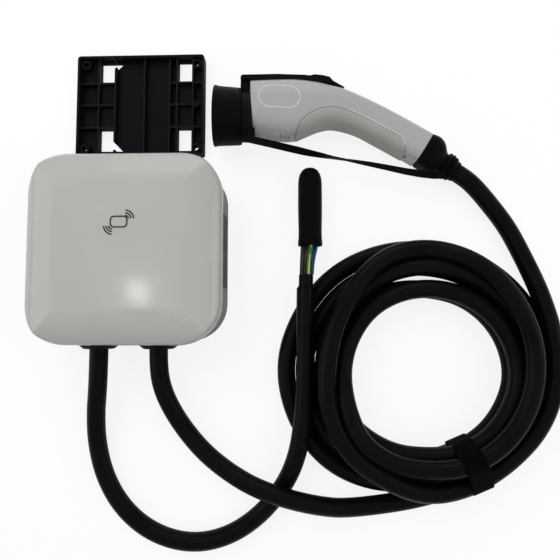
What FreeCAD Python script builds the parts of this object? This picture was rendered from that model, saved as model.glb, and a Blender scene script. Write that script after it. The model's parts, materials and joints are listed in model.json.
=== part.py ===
"""Electric car wallbox with its wall bracket, supply lead, coiled charging cable and vehicle plug.

Everything lies on z = 0 as it is laid out: the box on its back with the front cover up (+Z) and its
upper edge towards +Y, the bracket above it, and the plug on its side at the upper right. The origin
is the middle of the box's rear plane. Sizes are millimetres.
"""
import FreeCAD, Part
import Sketcher
import math
import os
import re

Vec = FreeCAD.Vector
DOC = FreeCAD.newDocument("wallbox")

SIZES = {
    # box
    "cover_width": 180, "cover_height": 176, "corner_round": 39, "rim_height": 60, "parting_height": 50,
    "crown_rise": 14, "crown_flat": 55, "cover_skin": 3, "cover_skirt": 5, "cover_overhang": 2,
    "housing_wall": 3, "seal_thick": 1, "seal_setback": 0.6, "seal_wide": 2.2,
    "recess_side": 22, "recess_end": 27, "recess_depth": 13, "recess_wall": 3,
    "post_round": 6, "post_inset": 21, "screw_shank": 2, "screw_head": 3.8, "head_thick": 2.6,
    "head_seat": 30, "screw_bite": 12, "boss_round": 4.5, "fit_gap": 0.2,
    "plate_low_y": -34, "plate_long": 70, "plate_low_z": 5, "plate_tall": 41, "plate_thick": 1,
    "plate_sunk": 0.6,
    # electronics
    "board_side_room": 34, "wire_room": 6, "board_thick": 1.6, "standoff_tall": 6, "standoff_round": 3.5,
    "standoff_inset": 6, "board_screw": 1.5, "board_head": 2.8,
    "block_wide": 34, "block_deep": 14, "block_tall": 15, "reader_wide": 46, "reader_tall": 34,
    # cable glands
    "gland_left": -31, "gland_right": 26.5, "gland_height": 29, "thread_round": 12.4,
    "flange_round": 18, "flange_thick": 2.5, "nut_thick": 3.8, "nut_front": 14.4, "gland_inside": 14,
    "locknut_round": 16.5, "locknut_thick": 4.5, "cable_round": 8.75, "seal_grip": 7,
    # wall bracket
    "bracket_x": -1, "bracket_gap": 12.3, "bracket_wide": 130, "bracket_tall": 104, "bracket_deep": 12,
    "bracket_wall": 2.5, "web_thick": 3, "rib_thick": 2, "rib_tall": 9.5, "bracket_hole": 2.6,
    "hole_pitch_x": 114, "hole_pitch_y": 88, "window_tall": 22, "hook_wide": 9, "hook_post": 5,
    "hook_foot": 7, "hook_tip": 3.2,
    # cables
    "floor_gap": 0.15, "neck_round": 6.8, "neck_long": 13, "core_round": 2.3, "tail_core": 1.6,
    "core_pitch": 4.2, "cap_round": 11,
    "cap_long": 78, "cap_wall": 1.6, "cap_depth": 22,
    "coil_x": 272, "coil_y": -114, "coil_half_x": 133.5, "coil_half_y": 126.5, "coil_low": 17.5,
    "hole_x": 282, "hole_y": -116, "hole_round": 72, "heap_round": 105.8, "coil_high": 49,
    "tie_angle": -66, "tie_wide": 22, "tie_thick": 1.6, "tie_gap": 0.4,
    # vehicle plug, in its own frame: x back from the cap's rim, y towards the latch, z to the side
    "plug_x": 77.8, "plug_y": 132.6, "plug_rise": 30.3, "plug_yaw": -1.3, "plug_pitch": 3.3,
    "cap_rim": 30.2, "cap_back": 27.6, "cap_deep": 27, "cap_end": 3, "nose_round": 23.5, "nose_gap": 0.8,
    "nose_flat": 17.5, "nose_start": 6, "nose_wall": 2.4, "carrier_start": 11, "spigot_round": 20.3,
    "spigot_long": 6,
    "power_pin": 3.4, "signal_pin": 2.2, "sleeve_wall": 1.0, "shell_top": 38, "shell_bottom": 23,
    "shell_side": 24, "shell_wall": 2.6, "grip_side": 17.6, "grip_depth": 38.5, "grip_slope": 28.7,
    "shell_front": 34, "tail_start": 83, "pad_thick": 1.3, "lever_thick": 5.4, "lever_wide": 22,
    "lever_gap": 0.5, "lever_pivot": 72, "pin_round": 1.6, "pin_gap": 0.05, "press_angle": 2.5,
    "hook_front": 25, "ledge_top": 26, "strap_wide": 3.2, "strap_deep": 2.2, "boot_long": 26,
    "boot_round": 13.2, "clamp_long": 14,
}

# sizes that follow from those above
BOARD_WIDE = "(cover_width - 2 * board_side_room)"
BOARD_TALL = "(cover_height - 2 * (cover_overhang + gland_inside + wire_room + block_deep))"
RECESS_WIDE = "(cover_width - 2 * recess_side)"
RECESS_TALL = "(cover_height - 2 * recess_end)"
POST_X = "(cover_width / 2 - post_inset)"
POST_Y = "(cover_height / 2 - post_inset)"
STANDOFF_X = f"({BOARD_WIDE} / 2 - standoff_inset)"
STANDOFF_Y = f"({BOARD_TALL} / 2 - standoff_inset)"
BRACKET_Y = "(cover_height / 2 + bracket_gap + bracket_tall / 2)"
CORNERS = ((-1, -1), (1, -1), (1, 1), (-1, 1))

SHEET = DOC.addObject("Spreadsheet::Sheet", "dims")
for row, (alias, number) in enumerate(SIZES.items(), 1):
    SHEET.set(f"A{row}", alias)
    SHEET.set(f"B{row}", str(number))
    SHEET.setAlias(f"B{row}", alias)
DOC.recompute()

WORDS = re.compile(r"\b(" + "|".join(sorted(SIZES, key=len, reverse=True)) + r")\b")
NODES = {}


def val(alias):
    """The number that the sheet holds under an alias."""
    return float(getattr(SHEET, alias))


def bind(thing, **formulas):
    """Binds properties to formulas of sheet aliases; __ in a name stands for a dot."""
    for name, text in formulas.items():
        thing.setExpression(name.replace("__", "."), WORDS.sub(r"dims.\1", str(text)))
    return thing


def node(name, thing):
    """Registers a finished sub-part under the name of its file."""
    thing.Label = name
    NODES[name] = thing
    return thing


def place(thing, x=0, y=0, z=0, turn=None):
    """Sets a Placement with a bound base and an optional rotation."""
    if turn is not None:
        thing.Placement = FreeCAD.Placement(Vec(), turn)
    return bind(thing, Placement__Base__x=x, Placement__Base__y=y, Placement__Base__z=z)


def block(name, x, y, z, dx, dy, dz):
    """A box from its low corner and its three sizes."""
    return place(bind(DOC.addObject("Part::Box", name), Length=dx, Width=dy, Height=dz), x, y, z)


def rod(name, radius, length, x=0, y=0, z=0, turn=None):
    """A cylinder that stands on its placed base."""
    return place(bind(DOC.addObject("Part::Cylinder", name), Radius=radius, Height=length), x, y, z, turn)


def cut(name, base, *tools):
    """The base less its tools."""
    result = DOC.addObject("Part::Cut", name)
    result.Base = base
    result.Tool = tools[0] if len(tools) == 1 else fuse(name + "_tools", *tools)
    return result


def fuse(name, *parts):
    """Several overlapping or separate solids as one object."""
    result = DOC.addObject("Part::MultiFuse", name)
    result.Shapes = list(parts)
    return result


def common(name, *parts):
    """What several solids share."""
    result = DOC.addObject("Part::MultiCommon", name)
    result.Shapes = list(parts)
    return result


def new_body(name):
    """An empty body for sketches and features."""
    return DOC.addObject("PartDesign::Body", name)


def sketch(body, role, name, offset=None):
    """A sketch on one of the body's own origin planes."""
    drawing = body.newObject("Sketcher::SketchObject", name)
    plane = next(item for item in body.Origin.OriginFeatures if item.Role == role)
    drawing.AttachmentSupport = [(plane, "")]
    drawing.MapMode = "FlatFace"
    if offset is not None:
        bind(drawing, AttachmentOffset__Base__z=offset)
    return drawing


def pin(drawing, geometry, x, y, corner=1, near=(1.0, 1.0)):
    """Ties a point of a sketch to x and y formulas, measured from the sketch's origin."""
    for kind, text, first_value in (("DistanceX", x, near[0]), ("DistanceY", y, near[1])):
        rule = Sketcher.Constraint(kind, -1, 1, geometry, corner, float(first_value))
        index = drawing.addConstraint(rule)
        bind(drawing, **{f"Constraints[{index}]": text})


def polygon(drawing, points):
    """A closed polygon whose corners are pairs of formulas."""
    first, count = drawing.GeometryCount, len(points)
    ring = [Vec(20 * math.cos(2 * math.pi * i / count), 20 * math.sin(2 * math.pi * i / count), 0)
            for i in range(count)]
    drawing.addGeometry([Part.LineSegment(ring[i], ring[(i + 1) % count]) for i in range(count)])
    for i in range(count):
        joint = Sketcher.Constraint("Coincident", first + i, 2, first + (i + 1) % count, 1)
        drawing.addConstraint(joint)
    for i, (x, y) in enumerate(points):
        pin(drawing, first + i, x, y)


def rectangle(drawing, left, low, right, high):
    """A rectangle between four formulas."""
    polygon(drawing, [(left, low), (right, low), (right, high), (left, high)])


def circle(drawing, x, y, radius):
    """A circle with a bound centre and radius."""
    index = drawing.addGeometry(Part.Circle(Vec(0, 0, 0), Vec(0, 0, 1), 5))
    pin(drawing, index, x, y, 3)
    size = drawing.addConstraint(Sketcher.Constraint("Radius", index, 5))
    bind(drawing, **{f"Constraints[{size}]": radius})


def pad(body, drawing, length, down=False):
    """Adds a sketch's area up or down to the body."""
    feature = body.newObject("PartDesign::Pad", drawing.Name + "_pad")
    feature.Profile = drawing
    feature.Reversed = down
    return bind(feature, Length=length)


def pocket(body, drawing, length, down=True):
    """Cuts a sketch's area down or up out of the body."""
    feature = body.newObject("PartDesign::Pocket", drawing.Name + "_pocket")
    feature.Profile = drawing
    feature.Reversed = not down
    return bind(feature, Length=length)


def turned(name, points):
    """A body made by turning a closed profile of (radius, height) formulas about its Z axis."""
    body = new_body(name)
    profile = sketch(body, "XZ_Plane", name + "_profile")
    polygon(profile, points)
    feature = body.newObject("PartDesign::Revolution", name + "_turn")
    feature.Profile = profile
    feature.ReferenceAxis = (profile, ["V_Axis"])
    feature.Angle = 360
    return body


def upright_edges(shape, low, high):
    """Names of the straight edges along Z whose middle lies between two heights."""
    names = []
    for index, edge in enumerate(shape.Edges, 1):
        if edge.Curve.TypeId != "Part::GeomLine" or edge.Length < 1e-3:
            continue
        middle = edge.valueAt((edge.FirstParameter + edge.LastParameter) / 2)
        along = edge.tangentAt(edge.FirstParameter)
        if abs(abs(along.z) - 1) < 1e-6 and low <= middle.z <= high:
            names.append(f"Edge{index}")
    return names


def round_upright(body, feature, radius, low, high):
    """Rounds the upright edges of a body's latest feature between two heights."""
    DOC.recompute()
    rounded = body.newObject("PartDesign::Fillet", feature.Name + "_round")
    rounded.Base = (feature, upright_edges(feature.Shape, low, high))
    return bind(rounded, Radius=radius)


def slab(name, wide, tall, radius, low, high):
    """A rounded upright slab about the Z axis, between two height formulas."""
    body = new_body(name)
    outline = sketch(body, "XY_Plane", name + "_outline", low)
    rectangle(outline, f"-({wide}) / 2", f"-({tall}) / 2", f"({wide}) / 2", f"({tall}) / 2")
    round_upright(body, pad(body, outline, f"({high}) - ({low})"), radius, -1e3, 1e3)
    return body


# front cover: a cushion form, two crossed vaults within a rounded slab

def vault(name, size, room, depth, across):
    """A solid under the crown's profile, some skins deep, extruded across the box along X or Y."""
    half, drop = f"{size} / 2 + {room}", f"{depth} * cover_skin"
    fall = depth * val("cover_skin")
    body = new_body(name)
    side = sketch(body, "XZ_Plane" if across == "y" else "YZ_Plane", name + "_side")
    top, rim, flat = f"rim_height + crown_rise - {drop}", f"rim_height - {drop}", "crown_flat"
    corners = [(f"-({half})", "0"), (half, "0"), (half, rim), (flat, top), (f"-{flat}", top),
               (f"-({half})", rim)]
    wide, rise, inner = val(size) / 2 + room, val("crown_rise"), val("crown_flat")
    level = val("rim_height") - fall
    start = [Vec(-wide, 0, 0), Vec(wide, 0, 0), Vec(wide, level, 0), Vec(inner, level + rise, 0),
             Vec(-inner, level + rise, 0), Vec(-wide, level, 0)]
    round_size = ((wide - inner) ** 2 + rise ** 2) / (2 * rise)
    bend = math.asin((wide - inner) / round_size) / 2
    across_half = inner + round_size * math.sin(bend)
    up_half = level + rise - round_size * (1 - math.cos(bend))
    side.addGeometry([
        Part.LineSegment(start[0], start[1]), Part.LineSegment(start[1], start[2]),
        Part.Arc(start[2], Vec(across_half, up_half, 0), start[3]), Part.LineSegment(start[3], start[4]),
        Part.Arc(start[4], Vec(-across_half, up_half, 0), start[5]), Part.LineSegment(start[5], start[0])])
    for index in range(6):
        side.addConstraint(Sketcher.Constraint("Coincident", index, 2, (index + 1) % 6, 1))
    for index, (x, y) in enumerate(corners):
        pin(side, index, x, y, near=start[index])
    for index in (2, 4):
        size_rule = side.addConstraint(Sketcher.Constraint("Radius", index, round_size))
        bind(side, **{f"Constraints[{size_rule}]":
                      f"(({half} - crown_flat) ^ 2 + crown_rise ^ 2) / (2 * crown_rise)"})
    feature = pad(body, side, "cover_width + cover_height")
    feature.Midplane = True
    return body


def crossed_vaults(name, depth):
    """The two vaults of the crown, some skins deep; the upright one starts just past the lower rim."""
    return [vault(f"{name}_vault_x", "cover_width", 0, depth, "y"),
            vault(f"{name}_vault_y", "cover_height", 2, depth, "x")]


def make_cover():
    """The cushion-shaped front cover with its skirt and four screw bosses."""
    outer = common("cover_outer",
                   slab("cover_block", "cover_width", "cover_height", "corner_round", "parting_height",
                        "rim_height + crown_rise + 5"), *crossed_vaults("cover", 0))
    inner = common("cover_inner",
                   slab("cover_hollow", "cover_width - 2 * cover_skirt", "cover_height - 2 * cover_skirt",
                        "corner_round - cover_skirt", "parting_height - 5",
                        "rim_height + crown_rise + 5"), *crossed_vaults("hollow", 1))
    shell = cut("cover_shell", outer, inner)
    rods, holes = [], []
    for index, (sx, sy) in enumerate(CORNERS):
        x, y = f"{sx} * {POST_X}", f"{sy} * {POST_Y}"
        rods.append(rod(f"cover_boss_{index}", "boss_round",
                        "rim_height + crown_rise - parting_height + seal_thick", x, y,
                        "parting_height - seal_thick"))
        holes.append(rod(f"cover_pilot_{index}", "screw_shank", "screw_bite", x, y, "parting_height - 1"))
    bosses = [common("cover_bosses", fuse("cover_boss_rods", *rods), *crossed_vaults("boss", 0.5))]
    for index, sx in enumerate((-1, 1)):
        bosses.append(rod(f"reader_boss_{index}", "standoff_round", "10.5",
                          f"{sx} * (reader_wide / 2 - 5)", "12", "rim_height + crown_rise - 13"))
    node("front_cover", cut("front_cover", fuse("cover_body", shell, *bosses), *holes))


def make_housing():
    """The rear housing: a tray with a recess for the bracket, posts, standoffs and hooks."""
    wide, tall = "cover_width - 2 * cover_overhang", "cover_height - 2 * cover_overhang"
    body = new_body("housing_tray")
    top = "parting_height - seal_thick"
    outline = sketch(body, "XY_Plane", "housing_outline")
    rectangle(outline, f"-({wide}) / 2", f"-({tall}) / 2", f"({wide}) / 2", f"({tall}) / 2")
    round_upright(body, pad(body, outline, top), "corner_round - cover_overhang", -1, 100)
    hollow = slab("housing_hollow", f"{wide} - 2 * housing_wall", f"{tall} - 2 * housing_wall",
                  "corner_round - cover_overhang - housing_wall", "housing_wall", "parting_height + 5")
    boss = slab("recess_boss", f"{RECESS_WIDE} + 2 * recess_wall", f"{RECESS_TALL} + 2 * recess_wall",
                "5", "0", "recess_depth + recess_wall")
    recess = slab("recess_hollow", RECESS_WIDE, RECESS_TALL, "3", "-1", "recess_depth")
    shell = cut("housing_shell", body, hollow)
    adds, holes = [shell, boss], [recess]
    for index, (sx, sy) in enumerate(CORNERS):
        x, y = f"{sx} * {POST_X}", f"{sy} * {POST_Y}"
        adds.append(rod(f"post_{index}", "post_round", f"{top}", x, y, "0"))
        holes.append(rod(f"post_hole_{index}", "screw_shank + fit_gap", "parting_height + 2", x, y, "-1"))
        holes.append(rod(f"post_bore_{index}", "screw_head + 0.5", "head_seat + 1", x, y, "-1"))
        x, y = f"{sx} * {STANDOFF_X}", f"{sy} * {STANDOFF_Y}"
        adds.append(rod(f"standoff_{index}", "standoff_round", "standoff_tall + 1", x, y,
                        "recess_depth + recess_wall - 1"))
        holes.append(rod(f"standoff_hole_{index}", "board_screw", "standoff_tall + 1", x, y,
                         "recess_depth + recess_wall"))
    for index, x in enumerate(("gland_left", "gland_right")):
        holes.append(rod(f"gland_hole_{index}", "thread_round + fit_gap", "housing_wall + 8", x,
                         f"-({tall}) / 2 - 2", "gland_height", FreeCAD.Rotation(Vec(1, 0, 0), -90)))
    holes.append(block("plate_seat", f"({wide}) / 2 - plate_thick - plate_sunk", "plate_low_y - fit_gap",
                       "plate_low_z - fit_gap", "20", "plate_long + 2 * fit_gap",
                       "plate_tall + 2 * fit_gap"))
    tray = cut("housing_cut", fuse("housing_body", *adds), *holes)
    hooks = []
    for index, (x, y) in enumerate(((-45, 24), (35, 24), (-45, -46), (35, -46))):
        hooks.append(block(f"hook_post_{index}", str(x - 4.5), str(y + 8),
                           "hook_tip + 1.2", "hook_wide", "hook_post", "recess_depth - hook_tip"))
        hooks.append(block(f"hook_foot_{index}", str(x - 4.5), str(y + 8) + " - hook_foot",
                           "hook_tip + 1.2", "hook_wide", "hook_foot + 1", "hook_tip"))
    node("rear_housing", fuse("rear_housing", tray, *hooks))


def make_seal():
    """The flat seal between the housing's rim and the cover's skirt."""
    wide = "cover_width - 2 * cover_overhang - 2 * seal_setback"
    tall = "cover_height - 2 * cover_overhang - 2 * seal_setback"
    low, high = "parting_height - seal_thick", "parting_height"
    ring = cut("seal_ring",
               slab("seal_outer", wide, tall, "corner_round - cover_overhang - seal_setback", low, high),
               slab("seal_inner", f"{wide} - 2 * seal_wide", f"{tall} - 2 * seal_wide",
                    "corner_round - cover_overhang - seal_setback - seal_wide", f"{low} - 1",
                    f"{high} + 1"))
    node("cover_gasket", ring)


def make_side_plate():
    """The thin dark plate let into the right side of the housing."""
    body = new_body("side_plate")
    face = sketch(body, "YZ_Plane", "plate_face", "cover_width / 2 - cover_overhang - plate_sunk")
    rectangle(face, "plate_low_y", "plate_low_z", "plate_low_y + plate_long", "plate_low_z + plate_tall")
    pad(body, face, "plate_thick", down=True)
    node("side_plate", body)


def screw(name, shank, length, head, head_thick, x, y, z, turn=None):
    """A pan-head screw: its head stands on the placed point, its shank goes up from there."""
    body = turned(name, [("0", f"-({head_thick})"), (f"{head} * 0.8", f"-({head_thick})"),
                         (head, f"-({head_thick}) * 0.6"), (head, "0"), (shank, "0"), (shank, length),
                         ("0", length)])
    return place(body, x, y, z, turn)


def make_cover_screws():
    """Four long screws that hold the cover from behind."""
    screws = []
    for index, (sx, sy) in enumerate(CORNERS):
        screws.append(screw(f"cover_screw_{index}", "screw_shank - 0.05",
                            "parting_height - head_seat + screw_bite - 2", "screw_head", "head_thick",
                            f"{sx} * {POST_X}", f"{sy} * {POST_Y}", "head_seat"))
    node("cover_screws", fuse("cover_screws", *screws))


def on_board(along, up):
    """Formulas of a spot or a size on the board, whose layout grows and shrinks with it."""
    return f"{along} * {BOARD_WIDE} / 112", f"{up} * {BOARD_TALL} / 104"


def on_deck(name, spot, size, tall):
    """A block that stands on the board."""
    x, y = on_board(*spot)
    wide, deep = on_board(*size)
    return block(name, x, y, "recess_depth + recess_wall + standoff_tall + board_thick", wide, deep, tall)


def make_electronics():
    """Control board, its screws and the large pieces that it carries."""
    seat = "recess_depth + recess_wall + standoff_tall"
    deck = f"{seat} + board_thick"
    board = block("board_blank", f"-{BOARD_WIDE} / 2", f"-{BOARD_TALL} / 2", seat, BOARD_WIDE, BOARD_TALL,
                  "board_thick")
    holes, screws = [], []
    for index, (sx, sy) in enumerate(CORNERS):
        x, y = f"{sx} * {STANDOFF_X}", f"{sy} * {STANDOFF_Y}"
        holes.append(rod(f"board_hole_{index}", "board_screw + fit_gap", "5", x, y, f"{seat} - 1"))
        screws.append(screw(f"board_screw_{index}", "board_screw - 0.05", "board_thick + standoff_tall - 1",
                            "board_head", "2", x, y, deck, FreeCAD.Rotation(Vec(1, 0, 0), 180)))
    node("control_board", cut("control_board", board, *holes))
    node("board_screws", fuse("board_screws", *screws))
    relays = [on_deck(f"relay_{i}", (-40 + 26 * i, -2), (22, 30), "18") for i in range(2)]
    node("relay_pair", fuse("relay_pair", *relays))
    bore_x, bore_y = on_board(7, -42)
    core = cut("sensor_core", on_deck("sensor_block", (-8, -38), (30, 12), "22"),
               rod("sensor_bore", "6", "20", bore_x, bore_y, f"{deck} + 12",
                   FreeCAD.Rotation(Vec(1, 0, 0), -90)))
    node("current_sensor", core)
    node("power_module", on_deck("power_module", (16, 0), (34, 38), "16"))
    block_low = f"-{BOARD_TALL} / 2 - block_deep"
    for name, x in (("terminal_block_in", "gland_left"), ("terminal_block_out", "gland_right")):
        blank = block(name + "_blank", f"{x} - block_wide / 2", block_low,
                      "recess_depth + recess_wall", "block_wide", "block_deep", "block_tall")
        ports = [rod(f"{name}_port_{i}", "tail_core + fit_gap", "6", f"{x} + {i - 1.5} * core_pitch",
                     f"{block_low} - 1", "gland_height - 2",
                     FreeCAD.Rotation(Vec(1, 0, 0), -90)) for i in range(4)]
        node(name, cut(name, blank, *ports))
    crown = "rim_height + crown_rise"
    node("card_reader_board", block("card_reader_board", "-reader_wide / 2", "12 - reader_tall / 2",
                                    f"{crown} - 14.2", "reader_wide", "reader_tall", "1.2"))
    node("earth_stud", turned("earth_stud", [("0", "0"), ("3", "0"), ("3", "8"), ("6.5", "8"),
                                             ("6.5", "13"), ("3", "13"), ("3", "18"), ("0", "18")]))
    place(NODES["earth_stud"], f"{RECESS_WIDE} / 2 - 2", "0", "recess_depth + recess_wall")


def make_gland(side, x):
    """One cable gland through the lower wall: body, outer nut, seal and inner locknut."""
    wall = "cover_height / 2 - cover_overhang"
    turn = FreeCAD.Rotation(Vec(1, 0, 0), 90)

    def seat(thing):
        return place(thing, x, f"-({wall})", "gland_height", turn)

    bore = "cable_round + fit_gap"
    body = seat(turned(f"gland_body_{side}", [
        ("cable_round + 2.2", "-gland_inside"), ("thread_round", "-gland_inside"), ("thread_round", "0"),
        ("flange_round", "0"), ("flange_round", "flange_thick"), ("cable_round + 2.2", "flange_thick")]))
    node(f"gland_body_{side}", body)
    nut = seat(turned(f"gland_nut_{side}", [
        (bore, "flange_thick"), ("flange_round", "flange_thick"), ("flange_round", "flange_thick + 0.8"),
        ("nut_front", "flange_thick + nut_thick"), (bore, "flange_thick + nut_thick")]))
    node(f"gland_nut_{side}", nut)
    seal = seat(turned(f"gland_seal_{side}", [
        (bore, "flange_thick - seal_grip"), ("cable_round + 2.1", "flange_thick - seal_grip"),
        ("cable_round + 2.1", "flange_thick - 0.05"), (bore, "flange_thick - 0.05")]))
    node(f"gland_seal_{side}", seal)
    ring = new_body(f"gland_locknut_{side}")
    face = sketch(ring, "XY_Plane", f"locknut_face_{side}", "-housing_wall - locknut_thick")
    polygon(face, [(f"locknut_round * cos({60 * i})", f"locknut_round * sin({60 * i})") for i in range(6)])
    circle(face, "0", "0", "thread_round + fit_gap")
    pad(ring, face, "locknut_thick")
    node(f"gland_locknut_{side}", seat(ring))


def make_tails(name, x):
    """The end of a cable inside the box: jacket through the gland and four cores."""
    wall = "cover_height / 2 - cover_overhang"
    back = FreeCAD.Rotation(Vec(1, 0, 0), -90)
    jacket = rod(name + "_jacket", "cable_round", "flange_thick + nut_thick + gland_inside", x,
                 f"-({wall}) - flange_thick - nut_thick", "gland_height", back)
    cores = []
    for i in range(4):
        cores.append(rod(f"{name}_core_{i}", "tail_core", "wire_room + 6", f"{x} + {i - 1.5} * core_pitch",
                         f"-({wall}) + gland_inside - 2", "gland_height - 2", back))
    node(name, fuse(name, jacket, *cores))


def make_bracket():
    """The ribbed wall bracket: a shallow tray with windows for the box's hooks."""
    body = new_body("bracket_tray")
    x, y = "bracket_wide / 2", "bracket_tall / 2"
    outline = sketch(body, "XY_Plane", "bracket_outline")
    rectangle(outline, f"-{x}", f"-{y}", x, y)
    round_upright(body, pad(body, outline, "bracket_deep"), "3", -1, 100)
    inside = sketch(body, "XY_Plane", "bracket_inside", "bracket_deep")
    edge_x, edge_y = f"{x} - bracket_wall", f"{y} - bracket_wall"
    rectangle(inside, f"-({edge_x})", f"-({edge_y})", edge_x, edge_y)
    pocket(body, inside, "bracket_deep - web_thick")
    place(body, "bracket_x", BRACKET_Y, "0")

    def brick(name, left, low, right, high, bottom, top):
        return block(name, f"bracket_x + ({left})", f"{BRACKET_Y} + ({low})", bottom, f"({right}) - ({left})",
                     f"({high}) - ({low})", f"({top}) - ({bottom})")

    half = "rib_thick / 2"
    ribs = []
    for index, left in enumerate((-43.5, -26.5, 3.5, 29.4, 37, 53.3)):
        ribs.append(brick(f"rib_up_{index}", f"{left} - {half}", f"-({edge_y}) - 0.5", f"{left} + {half}",
                          f"{edge_y} + 0.5", "1", "rib_tall"))
    for index, low in enumerate((-22.2, 1.2, 24)):
        for side, (left, right) in enumerate((("-bracket_wide / 2 + 1", "-26.5"),
                                              ("29.4", "bracket_wide / 2 - 1"))):
            ribs.append(brick(f"rib_bar_{index}_{side}", left, f"{low} - {half}", right,
                              f"{low} + {half}", "1", "rib_tall"))
    for index, (left, right) in enumerate((("-42.5", "-27.5"), ("38", "52.3"))):
        ribs.append(brick(f"bar_deck_{index}", left, "-22.2", right, "24", "1", "web_thick + 2"))
    bosses = [rod(f"bracket_boss_{index}", "bracket_hole + 2.4", "rib_tall - 1",
                  f"bracket_x + ({sx}) * hole_pitch_x / 2", f"{BRACKET_Y} + ({sy}) * hole_pitch_y / 2", "1")
              for index, (sx, sy) in enumerate(CORNERS)]
    bosses.append(rod("bracket_stud", "3.2", "rib_tall", "bracket_x + 57", f"{BRACKET_Y} + 1.2", "1"))
    holes = [rod(f"bracket_hole_{index}", "bracket_hole", "bracket_deep + 4",
                 f"bracket_x + ({sx}) * hole_pitch_x / 2", f"{BRACKET_Y} + ({sy}) * hole_pitch_y / 2", "-2")
             for index, (sx, sy) in enumerate(CORNERS)]
    windows = []
    for index, (left, right, low) in enumerate(((-42.5, -27.5, 25), (38, 52.3, 25),
                                                (-42.5, -27.5, -45.2), (38, 52.3, -45.2))):
        windows.append(brick(f"window_{index}", str(left), str(low), str(right),
                             f"{low} + window_tall", "-1", "bracket_deep + 1"))
    for index, (low, tip) in enumerate(((25, 1), (-45.2, 0))):
        notch = new_body(f"notch_{index}")
        face = sketch(notch, "XY_Plane", f"notch_face_{index}", "-1")
        outer, inner = (f"{low} + window_tall", f"{low} + 14") if tip else (f"{low}", f"{low} + 9")
        polygon(face, [("-28", inner), ("-19.5", outer), ("-28", outer)])
        pad(notch, face, "bracket_deep + 2")
        windows.append(place(notch, "bracket_x", BRACKET_Y, "0"))
    solid = fuse("bracket_solid", body, *ribs, *bosses)
    node("wall_bracket", cut("wall_bracket", solid, *windows, *holes))


# cables: straight runs joined by tangent arcs

SUPPLY_ROUTE = [
    (-31, -92.3, 29), (-31, -111, 29), (-33, -132, 24.8), (-37, -156, 17), (-37.6, -184, 10.4),
    (-30.5, -214, 9), (-15.5, -241, 9), (7, -262.5, 9), (35, -275.5, 9), (65, -278.5, 9),
    (95, -270, 9), (121.5, -252, 9), (142.5, -227, 12), (156.5, -197, 24.5), (163.8, -163, 27.2),
    (167, -112, 27.2), (165.6, -66, 27.2), (166.2, -34.8, 26.8)]
CHARGE_OUT_ROUTE = [
    (26.5, -92.3, 29), (26.5, -110.5, 29), (30, -131, 25.8), (38.5, -151, 21.5), (52.5, -172.5, 18.5),
    (71, -192.5, 18.8), (94, -208.5, 23), (119, -220.5, 29.2), (147, -229.2, 31), (176, -237.5, 24.4),
    (205, -243.2, 14), (236, -242.5, 9.1)]
CHARGE_IN_ROUTE = [
    (345.5, 52, 12.2), (362.5, 26.5, 9.6), (375.5, 0, 9.1), (386, -27, 9), (391.5, -47, 9)]


def led_from_gland(points, gland):
    """A route whose first points follow the gland that its cable leaves by."""
    wall = val("cover_height") / 2 - val("cover_overhang")
    mouth = Vec(val(gland), -(wall + val("flange_thick") + val("nut_thick")), val("gland_height"))
    move, follow = mouth - Vec(*points[0]), 6
    return [tuple(Vec(*point) + move * max(0.0, 1 - index / follow)) for index, point in enumerate(points)]


def route_wire(points):
    """Runs and tangent arcs through a cord's points, with the arcs' radii."""
    spots = [Vec(*point) for point in points]
    edges, radii, start = [], [], spots[0]
    for before, here, after in zip(spots, spots[1:], spots[2:]):
        come, leave = here - before, after - here
        turn = come.getAngle(leave)
        reach = 0.45 * min(come.Length, leave.Length)
        first = here - come.normalize() * reach
        last = here + leave.normalize() * reach
        radii.append(reach / math.tan(turn / 2))
        toward = (first + last) * 0.5 - here
        middle = here + toward.normalize() * (math.hypot(reach, radii[-1]) - radii[-1])
        edges += [Part.LineSegment(start, first).toShape(), Part.Arc(first, middle, last).toShape()]
        start = last
    edges.append(Part.LineSegment(start, spots[-1]).toShape())
    return Part.Wire(edges), radii


def swept(points, radius):
    """A solid tube along a route, with its length and smallest arc."""
    wire, radii = route_wire(points)
    along = Vec(*points[1]) - Vec(*points[0])
    ring = Part.Wire([Part.Circle(Vec(*points[0]), along, radius).toShape()])
    return wire.makePipeShell([ring], True, False), wire.Length, min(radii)


def make_cord(name, points, radius):
    """One free length of cable as a plain tube, checked against its section times its length."""
    solid, length, tightest = swept(points, radius)
    ideal = math.pi * radius ** 2 * length
    print(f"{name}: {length:.0f} mm long, smallest arc {tightest:.0f} mm, "
          f"volume {solid.Volume / ideal:.4f} of section times length")
    feature = DOC.addObject("Part::Feature", name)
    feature.Shape = solid
    node(name, feature)


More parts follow.
